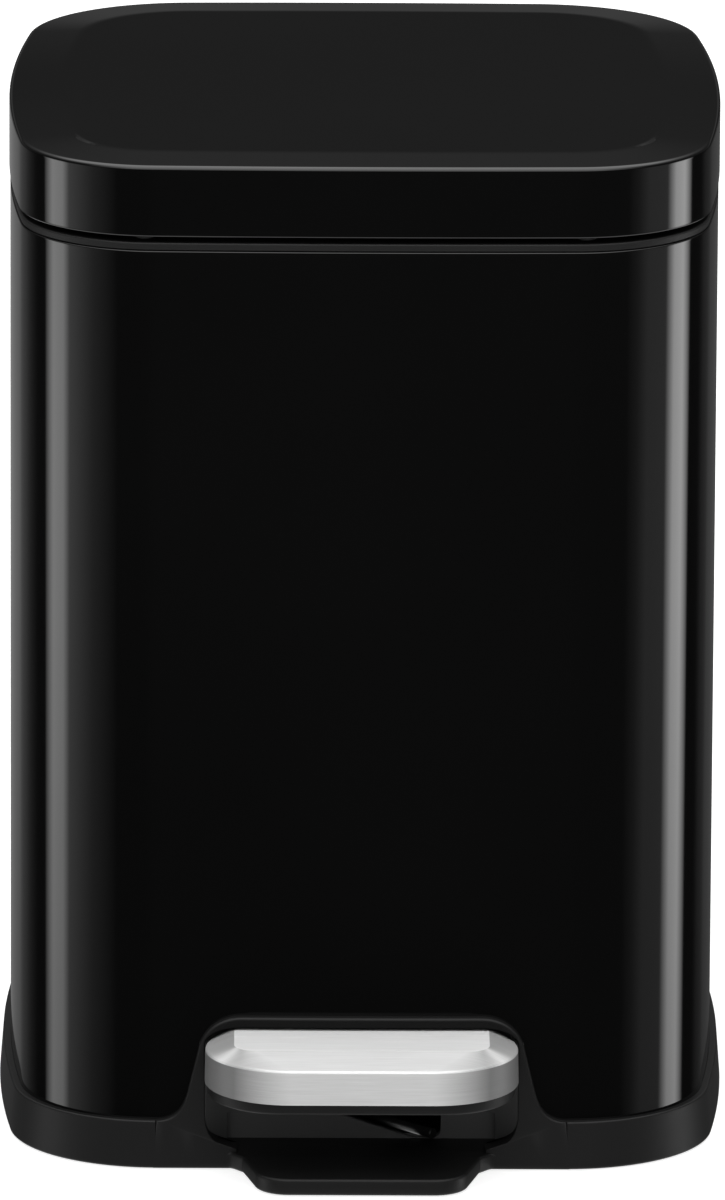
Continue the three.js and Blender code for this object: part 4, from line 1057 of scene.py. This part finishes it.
# What is left of the frame keeps its shape, takes its finish and gets a small bevel.
for name, node in frame["nodes"].items():
    node.data.materials.clear()
    node.data.materials.append(materials[slotOf[name]])
    edge = node.modifiers.new("edge", "BEVEL")
    edge.width, edge.segments, edge.limit_method, edge.angle_limit = 0.00025, 2, "ANGLE", math.radians(50)

floorMesh = bpy.data.meshes.new("floor")
floorMesh.from_pydata([(-9, -9, 0), (9, -9, 0), (9, 9, 0), (-9, 9, 0)], [], [(0, 1, 2, 3)])
floor = bpy.data.objects.new("floor", floorMesh)
bpy.context.scene.collection.objects.link(floor)


def describeFloor(nodes, where):
    return {"Base Color": nodes.mixColour(nodes.noise(where, 3.0), grey(0.34), grey(0.38)), "Roughness": 0.7,
            "Emission Color": grey(1.0), "Emission Strength": 0.75}


floorMesh.materials.append(makeMaterial("paleFloor", describeFloor))
floor.visible_glossy = False
floor.visible_shadow = False

# Soft studio light that depends only on direction: a tall panel at each side, a wide one overhead
# and in front, and dark flags behind. Places round the can run from 0 straight ahead to 1 behind.
# Each panel spills some light ahead of it, rises to its full strength, and has a flag behind it.
studio = {
    "left": {"ahead": 0.005, "spillFrom": 0.19, "spillTo": 0.43, "spill": 0.1, "rise": 0.44,
             "from": 0.48, "to": 0.545, "full": 0.38,
             "flagFrom": 0.605, "flagTo": 0.67, "flag": 0.003, "rear": 0.017, "edge": 0.035},
    "right": {"ahead": 0.006, "spillFrom": 0.26, "spillTo": 0.37, "spill": 0.05, "rise": 0.475,
              "from": 0.53, "to": 0.59, "full": 0.55,
              "flagFrom": 0.65, "flagTo": 0.74, "flag": 0.002, "rear": 0.007, "edge": 0.012},
    "front": 0.0075, "frontHalf": 0.06, "rearAt": 0.8, "edgeAt": 0.92, "sidePeak": 8.0,
    "window": [(0.0, 0.12), (0.13, 1.0), (0.245, 1.0), (0.31, 0.4), (0.5, 0.12)],
    "above": [(0.0, 0.0), (0.08, 0.01), (0.3, 0.45), (0.6, 0.6), (0.8, 0.9), (1.0, 1.0)],
    "behind": [(0.0, 0.01), (0.1, 0.034), (0.15, 0.03), (0.21, 0.01), (0.36, 0.03), (0.5, 0.07), (0.66, 0.25),
               (0.82, 0.85), (1.0, 1.0)],
    "abovePeak": 3.4, "below": 1.2,
    "isBack": [(0.14, 0.0), (0.36, 1.0)], "isUp": [(0.0, 0.0), (0.12, 1.0)], "isDown": [(0.36, 0.0), (0.6, 1.0)],
}


# The spill has a third of its strength half way along.
def panelStops(side):
    panel = studio[side]
    halfWay = (panel["spillFrom"] + panel["spillTo"]) / 2
    third = panel["ahead"] + (panel["spill"] - panel["ahead"]) / 3
    return [(0.0, studio["front"]), (studio["frontHalf"], panel["ahead"]), (panel["spillFrom"], panel["ahead"]),
            (halfWay, third), (panel["spillTo"], panel["spill"]), (panel["rise"], panel["spill"]),
            (panel["from"], panel["full"]), (panel["to"], panel["full"]), (panel["flagFrom"], panel["flag"]),
            (panel["flagTo"], panel["flag"]), (studio["rearAt"], panel["rear"]), (studio["edgeAt"], panel["rear"]),
            (1.0, panel["edge"])]


def makeWorld():
    world = bpy.data.worlds.new("studio")
    world.use_nodes = True
    nodes = Nodes(world.node_tree)
    direction = nodes.add("ShaderNodeTexCoord", out="Generated")
    parts = nodes.add("ShaderNodeSeparateXYZ", {}, {0: direction})
    x, y, z = (Value(nodes, parts.socket.node.outputs[i]) for i in range(3))
    around = x.math("ARCTAN2", x.math("ABSOLUTE", x), 0.0 - y) / math.pi
    sides = nodes.mixColour(x > 0.0, nodes.ramp(around, panelStops("left")), nodes.ramp(around, panelStops("right")))
    up = nodes.mixColour(nodes.ramp(around, studio["isBack"]), nodes.ramp(z, studio["above"]),
                         nodes.ramp(z, studio["behind"]))
    sideStrength = nodes.ramp(0.0 - z, studio["window"]) * studio["sidePeak"]
    sideLight = nodes.add("ShaderNodeVectorMath", {"operation": "SCALE"}, {0: sides, "Scale": sideStrength})
    upLight = nodes.add("ShaderNodeVectorMath", {"operation": "SCALE"}, {0: up, "Scale": studio["abovePeak"]})
    lit = nodes.mixColour(nodes.ramp(z, studio["isUp"]), sideLight, upLight)
    lit = nodes.mixColour(nodes.ramp(0.0 - z, studio["isDown"]), lit, grey(studio["below"]))
    seen = nodes.add("ShaderNodeLightPath", out="Is Camera Ray")
    colour = nodes.mixColour(seen, lit, grey(1.0))
    background = nodes.add("ShaderNodeBackground", {}, {"Color": colour, "Strength": 1.0})
    nodes.add("ShaderNodeOutputWorld", {}, {"Surface": background})
    bpy.context.scene.world = world


makeWorld()
bpy.context.scene.view_settings.view_transform = "Standard"

view = {"lens": 468.3, "azimuth": -0.3, "elevation": 14.47, "distance": 4548.0, "roll": 0.3,
        "aim": (0.15, 0.0, 139.9)}
cameraData = bpy.data.cameras.new("camera")
cameraData.lens = view["lens"]
cameraData.sensor_width = 36
cameraData.clip_start, cameraData.clip_end = 0.1, 60
camera = bpy.data.objects.new("camera", cameraData)
bpy.context.scene.collection.objects.link(camera)
azimuth, elevation = math.radians(view["azimuth"]), math.radians(view["elevation"])
flat = math.cos(elevation)
back = Vector((math.sin(azimuth) * flat, -math.cos(azimuth) * flat, math.sin(elevation)))
aim = Vector(np.array(view["aim"]) + shift) / 1000
camera.location = aim + back * view["distance"] / 1000
camera.rotation_mode = "QUATERNION"
camera.rotation_quaternion = (-back).to_track_quat("-Z", "Y") @ Quaternion((0, 0, 1), math.radians(view["roll"]))
bpy.context.scene.camera = camera

print("scene ready")
